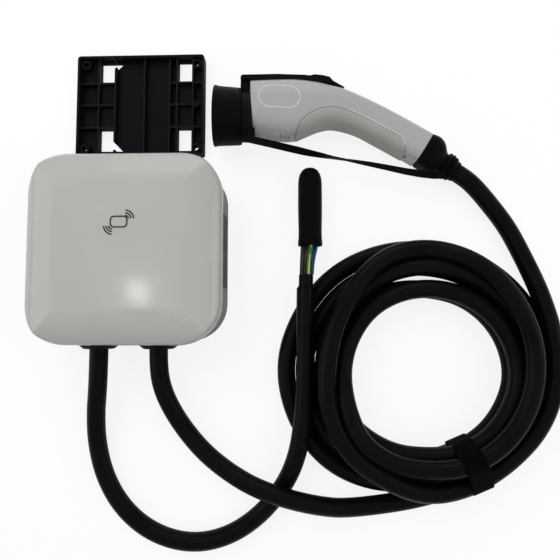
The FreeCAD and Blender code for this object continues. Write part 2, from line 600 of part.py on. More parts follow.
def make_lead_end():
    """The stripped end of the supply lead: inner sheath, four cores and the shrunk end cap."""
    end = Vec(*SUPPLY_ROUTE[-1])
    neck = DOC.addObject("Part::Feature", "sheath_end")
    axis = (end - Vec(*SUPPLY_ROUTE[-2])).normalize()
    neck.Shape = Part.makeCylinder(val("neck_round"), val("neck_long"), end, axis)
    node("sheath_end", neck)
    tip = end + axis * val("neck_long")
    mouth = Vec(170.8, 8, val("cap_round") + val("floor_gap"))
    cap = turned("end_cap", [("0", "cap_long"), ("cap_round * 0.55", "cap_long - 0.8"),
                             ("cap_round - 0.6", "cap_long - 6"), ("cap_round", "cap_long - 12"),
                             ("cap_round", "0"), ("cap_round - cap_wall", "0"),
                             ("cap_round - cap_wall", "cap_depth"), ("0", "cap_depth")])
    place(cap, mouth.x, mouth.y, "cap_round + floor_gap", FreeCAD.Rotation(Vec(1, 0, 0), -90))
    node("end_cap", cap)
    spread = {"core_dark": ((-3.5, -0.9), (-6.4, -1.0)), "core_brown": ((-0.9, 3.5), (-2.1, 1.6)),
              "core_earth": ((0.9, -3.5), (2.2, -1.0)), "core_blue": ((3.5, 0.9), (6.4, 1.6))}
    floor = Vec(mouth.x, mouth.y + val("cap_depth"), mouth.z)
    late = 0.32
    for name, (from_neck, in_cap) in spread.items():
        aside = Vec(from_neck[0], 0, from_neck[1])
        start = tip + aside - axis * aside.dot(axis)
        stop = floor + Vec(in_cap[0], 0, in_cap[1])
        points = [start, start + axis * (12 + late * from_neck[1]), stop - Vec(0, 19 - late * in_cap[1], 0),
                  stop]
        make_cord(name, [tuple(point) for point in points], val("core_round"))


def make_coil():
    """The coil's outer form: a wide low ring of turns under a narrower heap."""
    low, lift = val("coil_low"), val("floor_gap")
    middle = Vec(val("coil_x"), val("coil_y"), lift)
    hole = Vec(val("hole_x"), val("hole_y"), lift)
    oval = Part.Ellipse(middle, val("coil_half_x"), val("coil_half_y")).toShape()
    base = Part.Face(Part.Wire([oval])).extrude(Vec(0, 0, low))
    base = base.makeFillet(low * 0.42, [edge for edge in base.Edges if edge.Closed])
    heap = Part.makeCylinder(val("heap_round"), val("coil_high") - lift, hole)
    heap = heap.makeFillet(low * 0.7, [edge for edge in heap.Edges
                                       if edge.Closed and edge.BoundBox.ZMin > low])
    solid = base.fuse(heap).cut(Part.makeCylinder(val("hole_round"), 200, hole - Vec(0, 0, 50)))
    feature = DOC.addObject("Part::Feature", "cable_coil")
    feature.Shape = solid
    node("cable_coil", feature)


def make_tie():
    """The strap that holds the turns together, an arch over them at the lower right."""
    angle = math.radians(val("tie_angle"))
    out = Vec(math.cos(angle), math.sin(angle), 0)
    gap, thick, half = val("tie_gap"), val("tie_thick"), val("tie_wide") / 2
    inside = math.sqrt(val("hole_round") ** 2 - half ** 2) - gap
    ray = (val("hole_x") - val("coil_x"), val("hole_y") - val("coil_y"))
    a = (out.x / val("coil_half_x")) ** 2 + (out.y / val("coil_half_y")) ** 2
    b = 2 * (ray[0] * out.x / val("coil_half_x") ** 2 + ray[1] * out.y / val("coil_half_y") ** 2)
    c = (ray[0] / val("coil_half_x")) ** 2 + (ray[1] / val("coil_half_y")) ** 2 - 1
    rim = (-b + math.sqrt(b * b - 4 * a * c)) / (2 * a) + gap
    high, low, heap = val("coil_high") + gap, val("coil_low") + gap + 1, val("heap_round") + gap
    lift = val("floor_gap")
    inner = [(inside, lift), (inside, high), (heap, high), (rim, low), (rim, lift)]
    outer = [(rim + thick, lift), (rim + thick, low + 1), (heap + 0.6, high + thick),
             (inside - thick, high + thick), (inside - thick, lift)]
    hub = Vec(val("hole_x"), val("hole_y"), 0)
    across = Vec(-out.y, out.x, 0)
    corners = [hub + out * r + Vec(0, 0, z) - across * half for r, z in inner + outer]
    profile = Part.Face(Part.makePolygon(corners + corners[:1]))
    feature = DOC.addObject("Part::Feature", "coil_tie")
    feature.Shape = profile.extrude(across * (2 * half))
    node("coil_tie", feature)


# vehicle plug

def plug_placement():
    """Where the plug's own frame lies: yawed in plan, nose slightly up."""
    turn = FreeCAD.Rotation(Vec(0, 0, 1), val("plug_yaw")).multiply(
        FreeCAD.Rotation(Vec(0, 1, 0), val("plug_pitch")))
    return FreeCAD.Placement(Vec(val("plug_x"), val("plug_y"), val("plug_rise")), turn)


def plug_node(name, shape):
    """A piece of the plug from a shape in the plug's own frame."""
    feature = DOC.addObject("Part::Feature", name)
    feature.Shape = shape
    feature.Placement = plug_placement().multiply(shape.Placement)
    return node(name, feature)


def nose_turned(name, points):
    """A turned piece of the plug about the nose's axis, from (radius, distance back) formulas."""
    body = turned(name, points)
    turn = plug_placement().multiply(FreeCAD.Placement(Vec(), FreeCAD.Rotation(Vec(0, 1, 0), 90)))
    body.Placement = turn
    bind(body, Placement__Base__x="plug_x", Placement__Base__y="plug_y", Placement__Base__z="plug_rise")
    return body


def grip_point(along, across):
    """A point of the grip: along its slope from its root, and across it towards the latch side."""
    slope = math.radians(-val("grip_slope"))
    root = Vec(130, 9.8, 0)
    run, side = Vec(math.cos(slope), math.sin(slope), 0), Vec(-math.sin(slope), math.cos(slope), 0)
    return root + run * along + side * across


def shell_stations(inset):
    """Side-outline points (top, bottom) and half width of each section of the shell."""
    top, low, side = val("shell_top"), -val("shell_bottom"), val("shell_side")
    front, grip, half = val("shell_front"), val("grip_side"), val("grip_depth") / 2
    rows = [
        (Vec(front + inset, top, 0), Vec(front + 4 + inset, low, 0), side),
        (Vec(front + 20, top + 0.4, 0), Vec(front + 22, low - 0.6, 0), side + 0.3),
        (Vec(front + 43, top + 0.4, 0), Vec(front + 41, low - 0.2, 0), side - 0.6),
        (Vec(front + 64, top, 0), Vec(front + 55, low + 6, 0), side - 2.6),
        (Vec(front + 79, top - 2.2, 0), Vec(front + 69, low + 12.6, 0), (side + grip) / 2 - 0.8),
        (Vec(front + 94, top - 6.4, 0), Vec(front + 83, low + 14.2, 0), grip + 1.2)]
    for along in (val("tail_start") * 0.23, val("tail_start") * 0.49, val("tail_start") * 0.75,
                  val("tail_start") + inset):
        rows.append((grip_point(along, half), grip_point(along - 1.5, -half), grip))
    return rows


def shell_section(top, low, side, inset):
    """Half of a section: a soft-shouldered arc from the lower to the upper point, closed by a line."""
    up = (top - low).normalize()
    tall = (top - low).Length / 2 - inset
    middle, wide = (top + low) * 0.5, side - inset
    across = Vec(0, 0, 1)
    power = 2.0 / 2.7
    points = []
    for step in range(11):
        turn = math.pi * (step / 10 - 0.5)
        c, s = math.cos(turn), math.sin(turn)
        points.append(middle + up * (tall * math.copysign(abs(s) ** power, s))
                      + across * (wide * abs(c) ** power))
    points[0], points[-1] = middle - up * tall, middle + up * tall
    curve = Part.BSplineCurve()
    curve.interpolate(Points=points, InitialTangent=across, FinalTangent=across * -1)
    return Part.Wire([curve.toShape(), Part.LineSegment(points[-1], points[0]).toShape()])


def shell_form(inset):
    """Half of the plug's body as one smooth solid, inset for its hollow."""
    wires = [shell_section(top, low, side, inset) for top, low, side in shell_stations(inset)]
    return Part.makeLoft(wires, True, False)


def lever_outline(grow=0.0):
    """Side outline of the latch lever: hook, flat back, thumb pad and tapered tail."""
    top = val("shell_top") + val("lever_gap") + val("lever_thick")
    low = val("shell_top") + val("lever_gap") + 0.4 - grow
    front = val("hook_front")
    return [(front, 28.5 - grow), (front, top - 1.6), (front + 1.5, top + 0.2), (60, top + 0.5),
            (86, top), (92, top - 1.2), (96, top + 0.2), (104, top), (110.5, top - 2.2),
            (114.5, top - 6.5 + grow), (125.2 + grow, top - 12 + grow), (124 + grow, top - 13.2 - grow),
            (112, low - 3.4),
            (98, low - 0.4), (86, low), (front + 8, low), (front + 8, 28.5 - grow)]


def prism(points, wide):
    """A prism of a side outline, centred on the plug's middle plane."""
    corners = [Vec(x, y, -wide / 2) for x, y in points]
    return Part.Face(Part.makePolygon(corners + corners[:1])).extrude(Vec(0, 0, wide))


def make_plug_nose():
    """The round nose with its contact carrier, contacts and the collar behind it."""
    radius, wall = val("nose_round"), val("nose_wall")
    start, end, carrier = val("nose_start"), val("shell_front"), val("carrier_start")
    along = Vec(1, 0, 0)

    def barrel(size, low, high):
        return Part.makeCylinder(size, high - low, Vec(low, 0, 0), along)

    keep = Part.makeBox(300, 2 * radius, 100, Vec(-50, val("nose_flat") - 2 * radius, -50))
    spigot = barrel(val("spigot_round"), end - 1, end + val("spigot_long"))
    outer = barrel(radius, start, end - 0.05).fuse(spigot).common(keep)
    inner = barrel(radius - wall, start - 1, carrier + 14).common(
        Part.makeBox(300, 2 * radius, 100, Vec(-50, val("nose_flat") - wall - 2 * radius, -50)))
    block_front = barrel(radius - wall - 2.2, carrier, carrier + 15).common(
        Part.makeBox(300, 2 * radius, 100, Vec(-50, val("nose_flat") - wall - 2 - 2 * radius, -50)))
    nose = outer.cut(inner).fuse(block_front)
    contacts = [(8.5 * s, 11.5, "signal_pin") for s in (-0.9, 0.9)]
    contacts += [(x, 1.0, "power_pin") for x in (-15.2, 0, 15.2)]
    contacts += [(x, -11.6, "power_pin") for x in (-8.6, 8.6)]
    sleeves = []
    for z, y, size in contacts:
        hole = val(size) + val("sleeve_wall")
        nose = nose.cut(Part.makeCylinder(hole, 40, Vec(carrier - 1, y, z), along))
        tube = Part.makeCylinder(hole - 0.05, 18, Vec(carrier + 1.5, y, z), along)
        sleeves.append(tube.cut(Part.makeCylinder(val(size), 14, Vec(carrier, y, z), along)))
    plug_node("plug_nose", nose)
    plug_node("contact_sleeves", Part.makeCompound(sleeves))


STRAP_LINE = ((27.4, -26.4), (44, -28.2), (70, -31.2), (104, -36.4), (150, -44.0), (186, -51.2),
              (206, -56.0), (214, -58.3), (221.6, -59.1))


def boot_neck():
    """The cable's slope in the grip, its direction, and where the boot's neck begins."""
    slope = FreeCAD.Rotation(Vec(0, 0, 1), -val("grip_slope"))
    run = slope.multVec(Vec(1, 0, 0))
    neck = grip_point(val("tail_start") + val("boot_long") - 5.2, -2.4)
    return slope, run, neck


def make_cap():
    """The soft dust cap over the nose, tapered towards the back, and its flat strap."""
    bore = "nose_round + nose_gap"
    node("dust_cap", nose_turned("dust_cap", [
        ("0", "0.8"), ("cap_rim - 5", "0.8"), ("cap_rim - 3.4", "0"), ("cap_rim - 0.8", "0"),
        ("cap_rim", "0.8"), ("cap_rim - 0.2", "3"), ("cap_back + 0.7", "cap_deep - 4.4"),
        ("cap_back + 0.7", "cap_deep - 3.6"), ("cap_back", "cap_deep - 3.2"), ("cap_back", "cap_deep"),
        (bore, "cap_deep"), (bore, "cap_end"), ("0", "cap_end")]))
    deep, wide = val("strap_deep"), val("strap_wide")
    edge = [(x, y + deep / 2) for x, y in STRAP_LINE]
    edge += [(x, y - deep / 2) for x, y in reversed(STRAP_LINE)]
    _, run, neck = boot_neck()
    band_at = neck + run * 6.8
    band = Part.makeCylinder(13.9, 2.2, band_at, run).cut(Part.makeCylinder(11.3, 2.2, band_at, run))
    plug_node("cap_strap", prism(edge, wide).fuse(band))


def make_lever():
    """The latch lever with its pin, return spring and switch."""
    wide = val("lever_wide")
    pivot = Vec(val("lever_pivot"), val("shell_top") - 3.2, 0)
    lever = prism(lever_outline(), wide)
    for beside in (7, -7 - wide):
        lever = lever.cut(Part.makeBox(60, 60, wide, Vec(-27, -20, beside)))
    ear = Part.makeBox(8, 8.5, 5, pivot + Vec(-4, -4, -2.5))
    lever = lever.fuse(ear).cut(
        Part.makeCylinder(val("pin_round") + val("pin_gap"), 60, pivot - Vec(0, 0, 30), Vec(0, 0, 1)))
    plug_node("latch_lever", lever)
    pin_shape = Part.makeCylinder(val("pin_round"), 13, pivot - Vec(0, 0, 6.5), Vec(0, 0, 1))
    plug_node("latch_pin", pin_shape)
    return pivot


def lever_channel(pivot):
    """What the lever and its ear sweep through in the shell, with clearance."""
    wide = val("lever_wide") + 2 * val("lever_gap")
    shapes = []
    for share in (0, 0.25, 0.5, 0.8, 1.15):
        swept_part = prism(lever_outline(0.5), wide)
        swept_part.rotate(pivot, Vec(0, 0, 1), -share * val("press_angle"))
        shapes.append(swept_part)
    shapes.append(Part.makeBox(11, 20, 6.4, pivot + Vec(-5.5, -5.4, -3.2)))
    shapes.append(Part.makeBox(30, 20, 9, Vec(83, val("ledge_top"), -4.5)))
    return shapes[0].multiFuse(shapes[1:])


GRIP_EDGE = ((79.5, -27), (83.5, -10), (94.9, 1.9), (113.7, 5.9), (132, 1), (158.7, -13.9),
             (175.5, -22), (181.8, -29), (181.8, -42))


def grip_region():
    """Side area of the soft grip inlay, along the lower edge of the grip."""
    upper = [Vec(x, y, 0) for x, y in GRIP_EDGE]
    curve = Part.BSplineCurve()
    curve.interpolate(upper)
    low = [upper[-1], Vec(upper[-1].x, -90, 0), Vec(upper[0].x, -90, 0), upper[0]]
    edges = [curve.toShape()] + [Part.LineSegment(a, b).toShape() for a, b in zip(low, low[1:])]
    face = Part.Face(Part.Wire(edges))
    return face.extrude(Vec(0, 0, 80)).translated(Vec(0, 0, -40))


def make_shell(pivot):
    """The two shell halves, the grip inlay on both of them and the screws that close them."""
    region, channel = grip_region(), lever_channel(pivot)
    seat = Part.makeCylinder(val("spigot_round") + 0.1, 20, Vec(val("shell_front") - 12, 0, 0), Vec(1, 0, 0))
    tunnel = Part.makeCylinder(val("pin_round"), 13, pivot - Vec(0, 0, 6.5), Vec(0, 0, 1))
    bosses = [grip_point(8, 6), grip_point(47, 6), Vec(58, 8, 0), Vec(100, 4, 0)]
    form, under = shell_form(0.0), shell_form(val("pad_thick"))
    saddle = Part.makeBox(14, 12, 10, pivot + Vec(-7, -9, 0))
    ledge = Part.makeBox(47, 7, 30, Vec(pivot.x - 7, val("ledge_top") - 7, 0))
    pad_half = form.common(region).cut(under)
    half = form.cut(region).fuse(under.common(region))
    half = half.cut(shell_form(val("shell_wall")).cut(saddle.fuse(ledge))).cut(channel).cut(seat).cut(tunnel)
    for spot in bosses:
        half = half.fuse(Part.makeCylinder(3.6, 40, spot, Vec(0, 0, 1)).common(under))
    middle, side = Vec(0, 0, 0), Vec(0, 0, 1)
    half = max(half.Solids, key=lambda solid: solid.Volume)
    other = half.mirror(middle, side).fuse(clamp_bed(under.mirror(middle, side)))
    screws = []
    for spot in bosses:
        half = half.cut(Part.makeCylinder(1.6, 12, spot, side))
        other = other.cut(Part.makeCylinder(1.9, 60, spot, side * -1))
        other = other.cut(Part.makeCylinder(3.4, 60, spot - side * 8, side * -1))
        shank = Part.makeCylinder(1.5, 18, spot - side * 8, side)
        screws.append(shank.fuse(Part.makeCylinder(3.0, 2.2, spot - side * 10.2, side)))
    plug_node("plug_shell_upper", half)
    plug_node("plug_shell_lower", other)
    plug_node("shell_screws", Part.makeCompound(screws))
    plug_node("grip_pad", pad_half.fuse(pad_half.mirror(middle, side)))


def make_collar():
    """The dark collar between the nose's cap and the shell."""
    start, end = val("cap_deep") + 0.5, val("shell_front")
    ring = Part.makeCylinder(val("nose_round") + 0.6, end - start, Vec(start, 0, 0), Vec(1, 0, 0))
    top = Part.makeBox(end - start, 10, 18, Vec(start, 17, -9))
    bore = Part.makeCylinder(val("nose_round") + 0.05, 60, Vec(0, 0, 0), Vec(1, 0, 0))
    keep = Part.makeBox(300, 100, 100, Vec(-50, val("nose_flat") + 0.05 - 100, -50))
    plug_node("plug_collar", ring.fuse(top).cut(bore.common(keep)))


def clamp_place():
    """Where the cable's clamp sits in the grip."""
    slope, run, neck = boot_neck()
    return FreeCAD.Placement(neck - run * (val("boot_long") + val("clamp_long") + 6), slope)


def clamp_cuts(grow):
    """The cable and the two screws in the clamp's own frame, as cutting tools or as screws."""
    cable = Part.makeCylinder(val("cable_round") + 0.1, 60, Vec(-5, 0, 0), Vec(1, 0, 0))
    screws = []
    for side in (-1, 1):
        spot = Vec(val("clamp_long") / 2, side * 10.3, 0)
        shank = Part.makeCylinder(1.15 + grow, 12, spot - Vec(0, 0, 5), Vec(0, 0, 1))
        screws.append(shank.fuse(Part.makeCylinder(1.8, 1.5, spot + Vec(0, 0, 7), Vec(0, 0, 1))))
    return cable, screws


def clamp_bed(low_form):
    """The block under the cable that the clamp is screwed to, part of the lower shell half."""
    bed = Part.makeBox(val("clamp_long"), 24.4, 30, Vec(0, -12.2, -30.05))
    cable, screws = clamp_cuts(0)
    bed = bed.cut(cable).cut(Part.makeCompound(screws))
    bed.Placement = clamp_place()
    return bed.common(low_form)


def make_tail():
    """The cable's clamp in the grip, and the ringed boot that it leaves through."""
    slope, run, neck_at = boot_neck()
    clamp = clamp_place()
    cable, screws = clamp_cuts(0)
    profile = [(-12.2, 0.05), (-12.2, 7), (-7.6, 7), (-7.6, 11.6), (7.6, 11.6), (7.6, 7), (12.2, 7),
               (12.2, 0.05)]
    corners = [Vec(0, y, z) for y, z in profile]
    saddle = Part.Face(Part.makePolygon(corners + corners[:1])).extrude(Vec(val("clamp_long"), 0, 0))
    saddle = saddle.cut(cable)
    for one in clamp_cuts(0.1)[1]:
        saddle = saddle.cut(one)
    saddle.Placement = clamp
    plug_node("cable_clamp", saddle)
    heads = Part.makeCompound(screws)
    heads.Placement = clamp
    plug_node("clamp_screws", heads)
    end, round_end = val("tail_start"), val("boot_round")
    root, half = grip_point(end + 0.3, -1.2), val("grip_depth") / 2 - 1.4
    wires = []
    for along, tall, wide in ((0, half, 15.8), (8, half * 0.92, 15.2), (15, 15.4, 14.4),
                              (21, round_end + 0.05, round_end)):
        centre = root + run * along + slope.multVec(Vec(0, -0.06 * along, 0))
        tip_point = centre + slope.multVec(Vec(0, tall, 0))
        side_point = centre + Vec(0, 0, wide)
        wires.append(Part.Wire([Part.Ellipse(tip_point, side_point, centre).toShape()]))
    boot = Part.makeLoft(wires, True, False)
    neck = Part.makeCylinder(11.2, 17, neck_at, run)
    for along, size in ((3.4, 13.4), (9.2, 12.8)):
        neck = neck.fuse(Part.makeCylinder(size, 3.2, neck_at + run * along, run))
    plug_in = Part.makeCylinder(13.4, 10, neck_at - run * (val("boot_long") + 4), run)
    tip = neck_at + run * 17
    bore = Part.makeCylinder(val("cable_round") + 0.1, 80, tip - run * 75, run)
    plug_node("tail_boot", boot.fuse(neck).fuse(plug_in).cut(bore))
    back = plug_placement().multVec(tip)
    print("boot tip in the box's frame", [round(c, 2) for c in back])
    inside = (tip - clamp.Base).Length + 2
    plug_node("plug_lead", Part.makeCylinder(val("cable_round"), inside, tip - run * inside, run))
    way = plug_placement().Rotation.multVec(run)
    return [tuple(back), tuple(back + way * 18)]


def make_latch_works(pivot):
    """The lever's return spring and the switch that it works."""
    foot = Vec(104, val("ledge_top") + 0.4, 0)
    spring = Part.makeHelix(1.7, 9.8, 2.4)
    ring = Part.Wire([Part.Circle(Vec(2.4, 0, 0), Vec(0, 1, 0), 0.35).toShape()])
    coil = Part.Wire(spring.Edges).makePipeShell([ring], True, True)
    coil.Placement = FreeCAD.Placement(foot, FreeCAD.Rotation(Vec(1, 0, 0), -90))
    plug_node("latch_spring", coil)
    plug_node("latch_switch", Part.makeBox(14, 6, 7, Vec(84, val("ledge_top"), -3.5)))


def check_and_write():
    """Stops on a failed object or a bad shape, then writes one file for each sub-part."""
    DOC.recompute()
    for item in DOC.Objects:
        bad = [state for state in item.State if state in ("Invalid", "Error")]
        if bad:
            raise RuntimeError(f"{item.Name} is {bad}")
    os.makedirs("parts", exist_ok=True)
    for name, thing in NODES.items():
        shape = thing.Shape
        if shape.isNull() or not shape.isValid() or not shape.Solids:
            raise RuntimeError(f"{name} has no valid solid")
        shape.exportStep(f"parts/{name}.step")
        box = shape.optimalBoundingBox(False, False)
        print(f"{name}: {len(shape.Solids)} solids, {shape.Volume:.0f} mm3, "
              f"z {box.ZMin:.2f} to {box.ZMax:.2f}")


def main():
    """Builds every sub-part in turn."""
    make_cover()
    make_housing()
    make_seal()
    make_side_plate()
    make_cover_screws()
    make_electronics()
    for side, x in (("in", "gland_left"), ("out", "gland_right")):
        make_gland(side, x)
    make_tails("supply_tails", "gland_left")
    make_tails("output_tails", "gland_right")
    make_bracket()
    make_cord("supply_lead", led_from_gland(SUPPLY_ROUTE, "gland_left"), val("cable_round"))
    make_lead_end()
    make_cord("charge_cable_out", led_from_gland(CHARGE_OUT_ROUTE, "gland_right"), val("cable_round"))
    make_coil()
    make_tie()
    make_plug_nose()
    make_collar()
    make_cap()
    pivot = make_lever()
    make_shell(pivot)
    make_latch_works(pivot)
    make_cord("charge_cable_in", make_tail() + CHARGE_IN_ROUTE, val("cable_round"))
    place_of = plug_placement()
    axis = place_of.Rotation.multVec(Vec(0, 0, -1))
    print("latch pivot", [round(c, 3) for c in place_of.multVec(pivot)], "axis", [round(c, 5) for c in axis])
    print("cap pull axis", [round(c, 5) for c in place_of.Rotation.multVec(Vec(-1, 0, 0))])
    check_and_write()


main()
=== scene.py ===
"""Looks of an electric car wallbox, laid out with its bracket, supply lead, coiled cable and plug.

Sizes are in millimetres in the classes below and become metres when a piece is finished.
"""
import json
import logging
import math
from dataclasses import dataclass
from enum import Enum
from typing import Callable, Sequence

import bmesh
import bpy
from mathutils import Euler, Matrix, Vector
from mathutils.bvhtree import BVHTree

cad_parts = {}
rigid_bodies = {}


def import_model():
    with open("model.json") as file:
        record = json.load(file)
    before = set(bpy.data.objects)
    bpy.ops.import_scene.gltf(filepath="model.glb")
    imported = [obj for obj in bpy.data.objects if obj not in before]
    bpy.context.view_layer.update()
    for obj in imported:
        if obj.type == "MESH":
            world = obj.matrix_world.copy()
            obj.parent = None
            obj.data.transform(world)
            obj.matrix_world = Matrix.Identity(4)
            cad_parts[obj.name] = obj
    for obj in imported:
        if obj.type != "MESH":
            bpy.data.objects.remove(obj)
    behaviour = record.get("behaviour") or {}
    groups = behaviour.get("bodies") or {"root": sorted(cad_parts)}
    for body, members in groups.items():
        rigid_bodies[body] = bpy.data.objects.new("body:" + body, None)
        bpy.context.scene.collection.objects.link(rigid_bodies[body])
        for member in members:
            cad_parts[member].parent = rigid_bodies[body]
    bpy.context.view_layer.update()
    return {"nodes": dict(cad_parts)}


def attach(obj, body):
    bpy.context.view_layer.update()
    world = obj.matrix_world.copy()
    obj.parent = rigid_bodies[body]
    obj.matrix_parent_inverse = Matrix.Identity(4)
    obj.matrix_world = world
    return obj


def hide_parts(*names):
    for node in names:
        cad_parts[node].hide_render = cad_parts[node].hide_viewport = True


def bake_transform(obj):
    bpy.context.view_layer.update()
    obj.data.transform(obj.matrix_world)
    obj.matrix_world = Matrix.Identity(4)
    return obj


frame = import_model()
LOG = logging.getLogger("wallbox")
MM = 0.001
CABLE_RADIUS = 8.75
COIL_HUB = (282, -116)
MERGE = 0.0001  # mm within which points count as one
PATCH = 0.035  # m, size of the slow patches of a finish
WEAVE_SCALE = 300
Colour = tuple[float, float, float]
Point = tuple[float, float, float]
Pair = tuple[float, float]
Tree = bpy.types.NodeTree
Socket = bpy.types.NodeSocket
Thing = bpy.types.Object
Mesh = bmesh.types.BMesh

# the plug's own frame: x from its cap to its handle, y to the latch, z up from the floor
PLUG = (Matrix.Translation((77.8, 132.6, 30.3)) @ Matrix.Rotation(math.radians(-1.3), 4, "Z")
        @ Matrix.Rotation(math.radians(3.3), 4, "Y"))


class Body(Enum):
    """The moving bodies that a piece can ride on."""

    BOX = "wallbox"
    CAP = "cap"
    LATCH = "latch"


class Pattern(Enum):
    """What a finish shows beside its base colour."""

    MOULDED = "moulded"
    WEBBING = "webbing"


# finishes

def add_node(tree: Tree, kind: str, links: dict[str, Socket],
             **values: object) -> bpy.types.Node:
    """Adds a shader node, links some inputs and sets others.

    Args:
        tree: The node tree.
        kind: The node's type without its common prefix.
        links: The socket that feeds each named input.
        values: The value of each other input, with an underscore for a space in its name.

    Returns:
        The new node.
    """
    node = tree.nodes.new(f"ShaderNode{kind}")
    for name, value in values.items():
        node.inputs[name.replace("_", " ")].default_value = value
    for name, source in links.items():
        tree.links.new(source, node.inputs[name])
    return node


@dataclass(frozen=True)
class Finish:
    """One material: its colour, gloss, fine texture and slow variation."""

    name: str
    slot: str
    colour: Colour
    roughness: float = 0.5
    mottle: float = 0.06
    grain_mm: float = 0.6
    grain_depth: float = 0.02
    coat: float = 0.0
    shine: float = 0.5
    metal: float = 0.0
    wear: float = 0.0
    pattern: Pattern = Pattern.MOULDED

    def material(self) -> bpy.types.Material:
        """Gives the finish as a node material, made once.

        Returns:
            The Blender material.
        """
        title = f"look_{self.name}"
        known = bpy.data.materials.get(title)
        if known is not None:
            return known
        material = bpy.data.materials.new(title)
        material.use_nodes = True
        tree = material.node_tree
        shader = tree.nodes["Principled BSDF"]
        for entry, value in (("Metallic", self.metal), ("Specular IOR Level", self.shine),
                             ("Coat Weight", self.coat), ("Coat Roughness", 0.12)):
            shader.inputs[entry].default_value = value
        place = {"Vector": add_node(tree, "TexCoord", {}).outputs["Object"]}
        slow = add_node(tree, "TexNoise", place, Scale=1 / PATCH, Detail=3.0).outputs["Fac"]
        rough = add_node(tree, "MapRange", {"Value": slow}, From_Min=0.3, From_Max=0.7,
                         To_Min=self.roughness - 0.06, To_Max=self.roughness + 0.08)
        if self.pattern is Pattern.WEBBING:
            height = add_node(tree, "TexWave", place, Scale=WEAVE_SCALE, Distortion=0.4)
        else:
            height = add_node(tree, "TexNoise", place, Scale=1 / (self.grain_mm * MM), Detail=4.0)
        bump = add_node(tree, "Bump", {"Height": height.outputs["Fac"]}, Strength=1.0,
                        Distance=self.grain_depth * MM)
        for entry, source in (("Base Color", self._colour(tree, slow)), ("Roughness", rough.outputs["Result"]),
                              ("Normal", bump.outputs["Normal"])):
            tree.links.new(source, shader.inputs[entry])
        return material

    def _colour(self, tree: Tree, slow: Socket) -> Socket:
        """Gives the base colour with its slow variation and worn edges."""
        dark = tuple(c * (1 - self.mottle) for c in self.colour)
        light = tuple(min(1.0, c * (1 + self.mottle) + 0.004 * self.mottle) for c in self.colour)
        mix = self._mix(tree, slow, dark, light)
        if self.wear > 0:
            edge = add_node(tree, "NewGeometry", {}).outputs["Pointiness"]
            span = add_node(tree, "MapRange", {"Value": edge}, From_Min=0.52, From_Max=0.62, To_Max=self.wear)
            worn = tuple(min(1.0, c * 1.5 + 0.03) for c in self.colour)
            mix = self._mix(tree, span.outputs["Result"], mix, worn)
        return mix

    @staticmethod
    def _mix(tree: Tree, factor: Socket, first: Colour | Socket,
             second: Colour) -> Socket:
        """Adds a colour mix driven by a factor and gives its result socket."""
        mix = add_node(tree, "Mix", {"Factor": factor})
        mix.data_type = "RGBA"
        if isinstance(first, Socket):
            tree.links.new(first, mix.inputs[6])
        else:
            mix.inputs[6].default_value = (*first, 1)
        mix.inputs[7].default_value = (*second, 1)
        return mix.outputs[2]


COVER = Finish("cover_gloss", "cover_silver", (0.47, 0.475, 0.44), 0.2, 0.02, 1.2, 0.004, 0.6)
HOUSING = Finish("housing_texture", "housing_grey", (0.2, 0.205, 0.175), 0.55, 0.05, 0.5, 0.05)
SEAL = Finish("seal_soft", "seal_rubber", (0.012, 0.012, 0.012), 0.7, shine=0.15)
PLATE = Finish("plate_satin", "plate_dark", (0.03, 0.03, 0.032), 0.45, 0.08, 0.4, 0.03, shine=0.2)
STEEL = Finish("steel_zinc", "screw_steel", (0.55, 0.56, 0.57), 0.3, 0.08, 0.3, 0.01, metal=1.0)
BOARD = Finish("board_mask", "board_green", (0.01, 0.09, 0.03), 0.35, 0.2, 0.8, 0.02)
DEVICE = Finish("device_black", "device_black", (0.02, 0.02, 0.022), 0.45)
DEVICE_BLUE = Finish("device_blue", "device_blue", (0.02, 0.06, 0.2), 0.4)
TERMINAL = Finish("terminal_grey", "terminal_grey", (0.2, 0.21, 0.21), 0.5)
BRASS = Finish("brass_turned", "stud_brass", (0.6, 0.42, 0.14), 0.25, 0.1, 0.3, 0.01, metal=1.0)
GLAND = Finish("gland_nylon", "gland_black", (0.004, 0.004, 0.0045), 0.42, 0.2, 0.5, 0.03, wear=0.1,
               shine=0.08)
CABLE = Finish("cable_jacket", "cable_black", (0.0022, 0.0023, 0.0025), 0.3, 0.35, 0.5, 0.02, 0.02,
               shine=0.09)
BRACKET = Finish("bracket_moulded", "bracket_black", (0.004, 0.0042, 0.0048), 0.42, 0.2, 0.7, 0.03,
                 wear=0.12, shine=0.1)
END_CAP = Finish("end_cap_shrunk", "end_cap_black", (0.0018, 0.0018, 0.0022), 0.5, 0.2, 1.5, 0.05, shine=0.07)
CORE_DARK = Finish("core_dark", "core_dark", (0.012, 0.011, 0.011), 0.4)
CORE_BROWN = Finish("core_brown", "core_brown", (0.05, 0.02, 0.013), 0.4)
CORE_EARTH = Finish("core_earth", "core_earth", (0.02, 0.12, 0.035), 0.4)
EARTH_STRIPE = Finish("earth_stripe", "core_earth", (0.5, 0.5, 0.05), 0.4)
CORE_BLUE = Finish("core_blue", "core_blue", (0.003, 0.03, 0.15), 0.4)
STRAP = Finish("tie_webbing", "strap_black", (0.0018, 0.0018, 0.0018), 0.8, pattern=Pattern.WEBBING,
               grain_depth=0.15, shine=0.05)
PLUG_BLACK = Finish("plug_black", "plug_black", (0.0028, 0.0028, 0.003), 0.38, 0.2, 0.6, 0.02, wear=0.1,
                    shine=0.08)
CAP_RUBBER = Finish("cap_rubber", "cap_rubber", (0.0022, 0.0022, 0.0036), 0.45, 0.2, 0.8, 0.03, shine=0.07)
SHELL = Finish("shell_gloss", "shell_white", (0.4, 0.4, 0.395), 0.28, 0.02, 1.5, 0.004, 0.5)
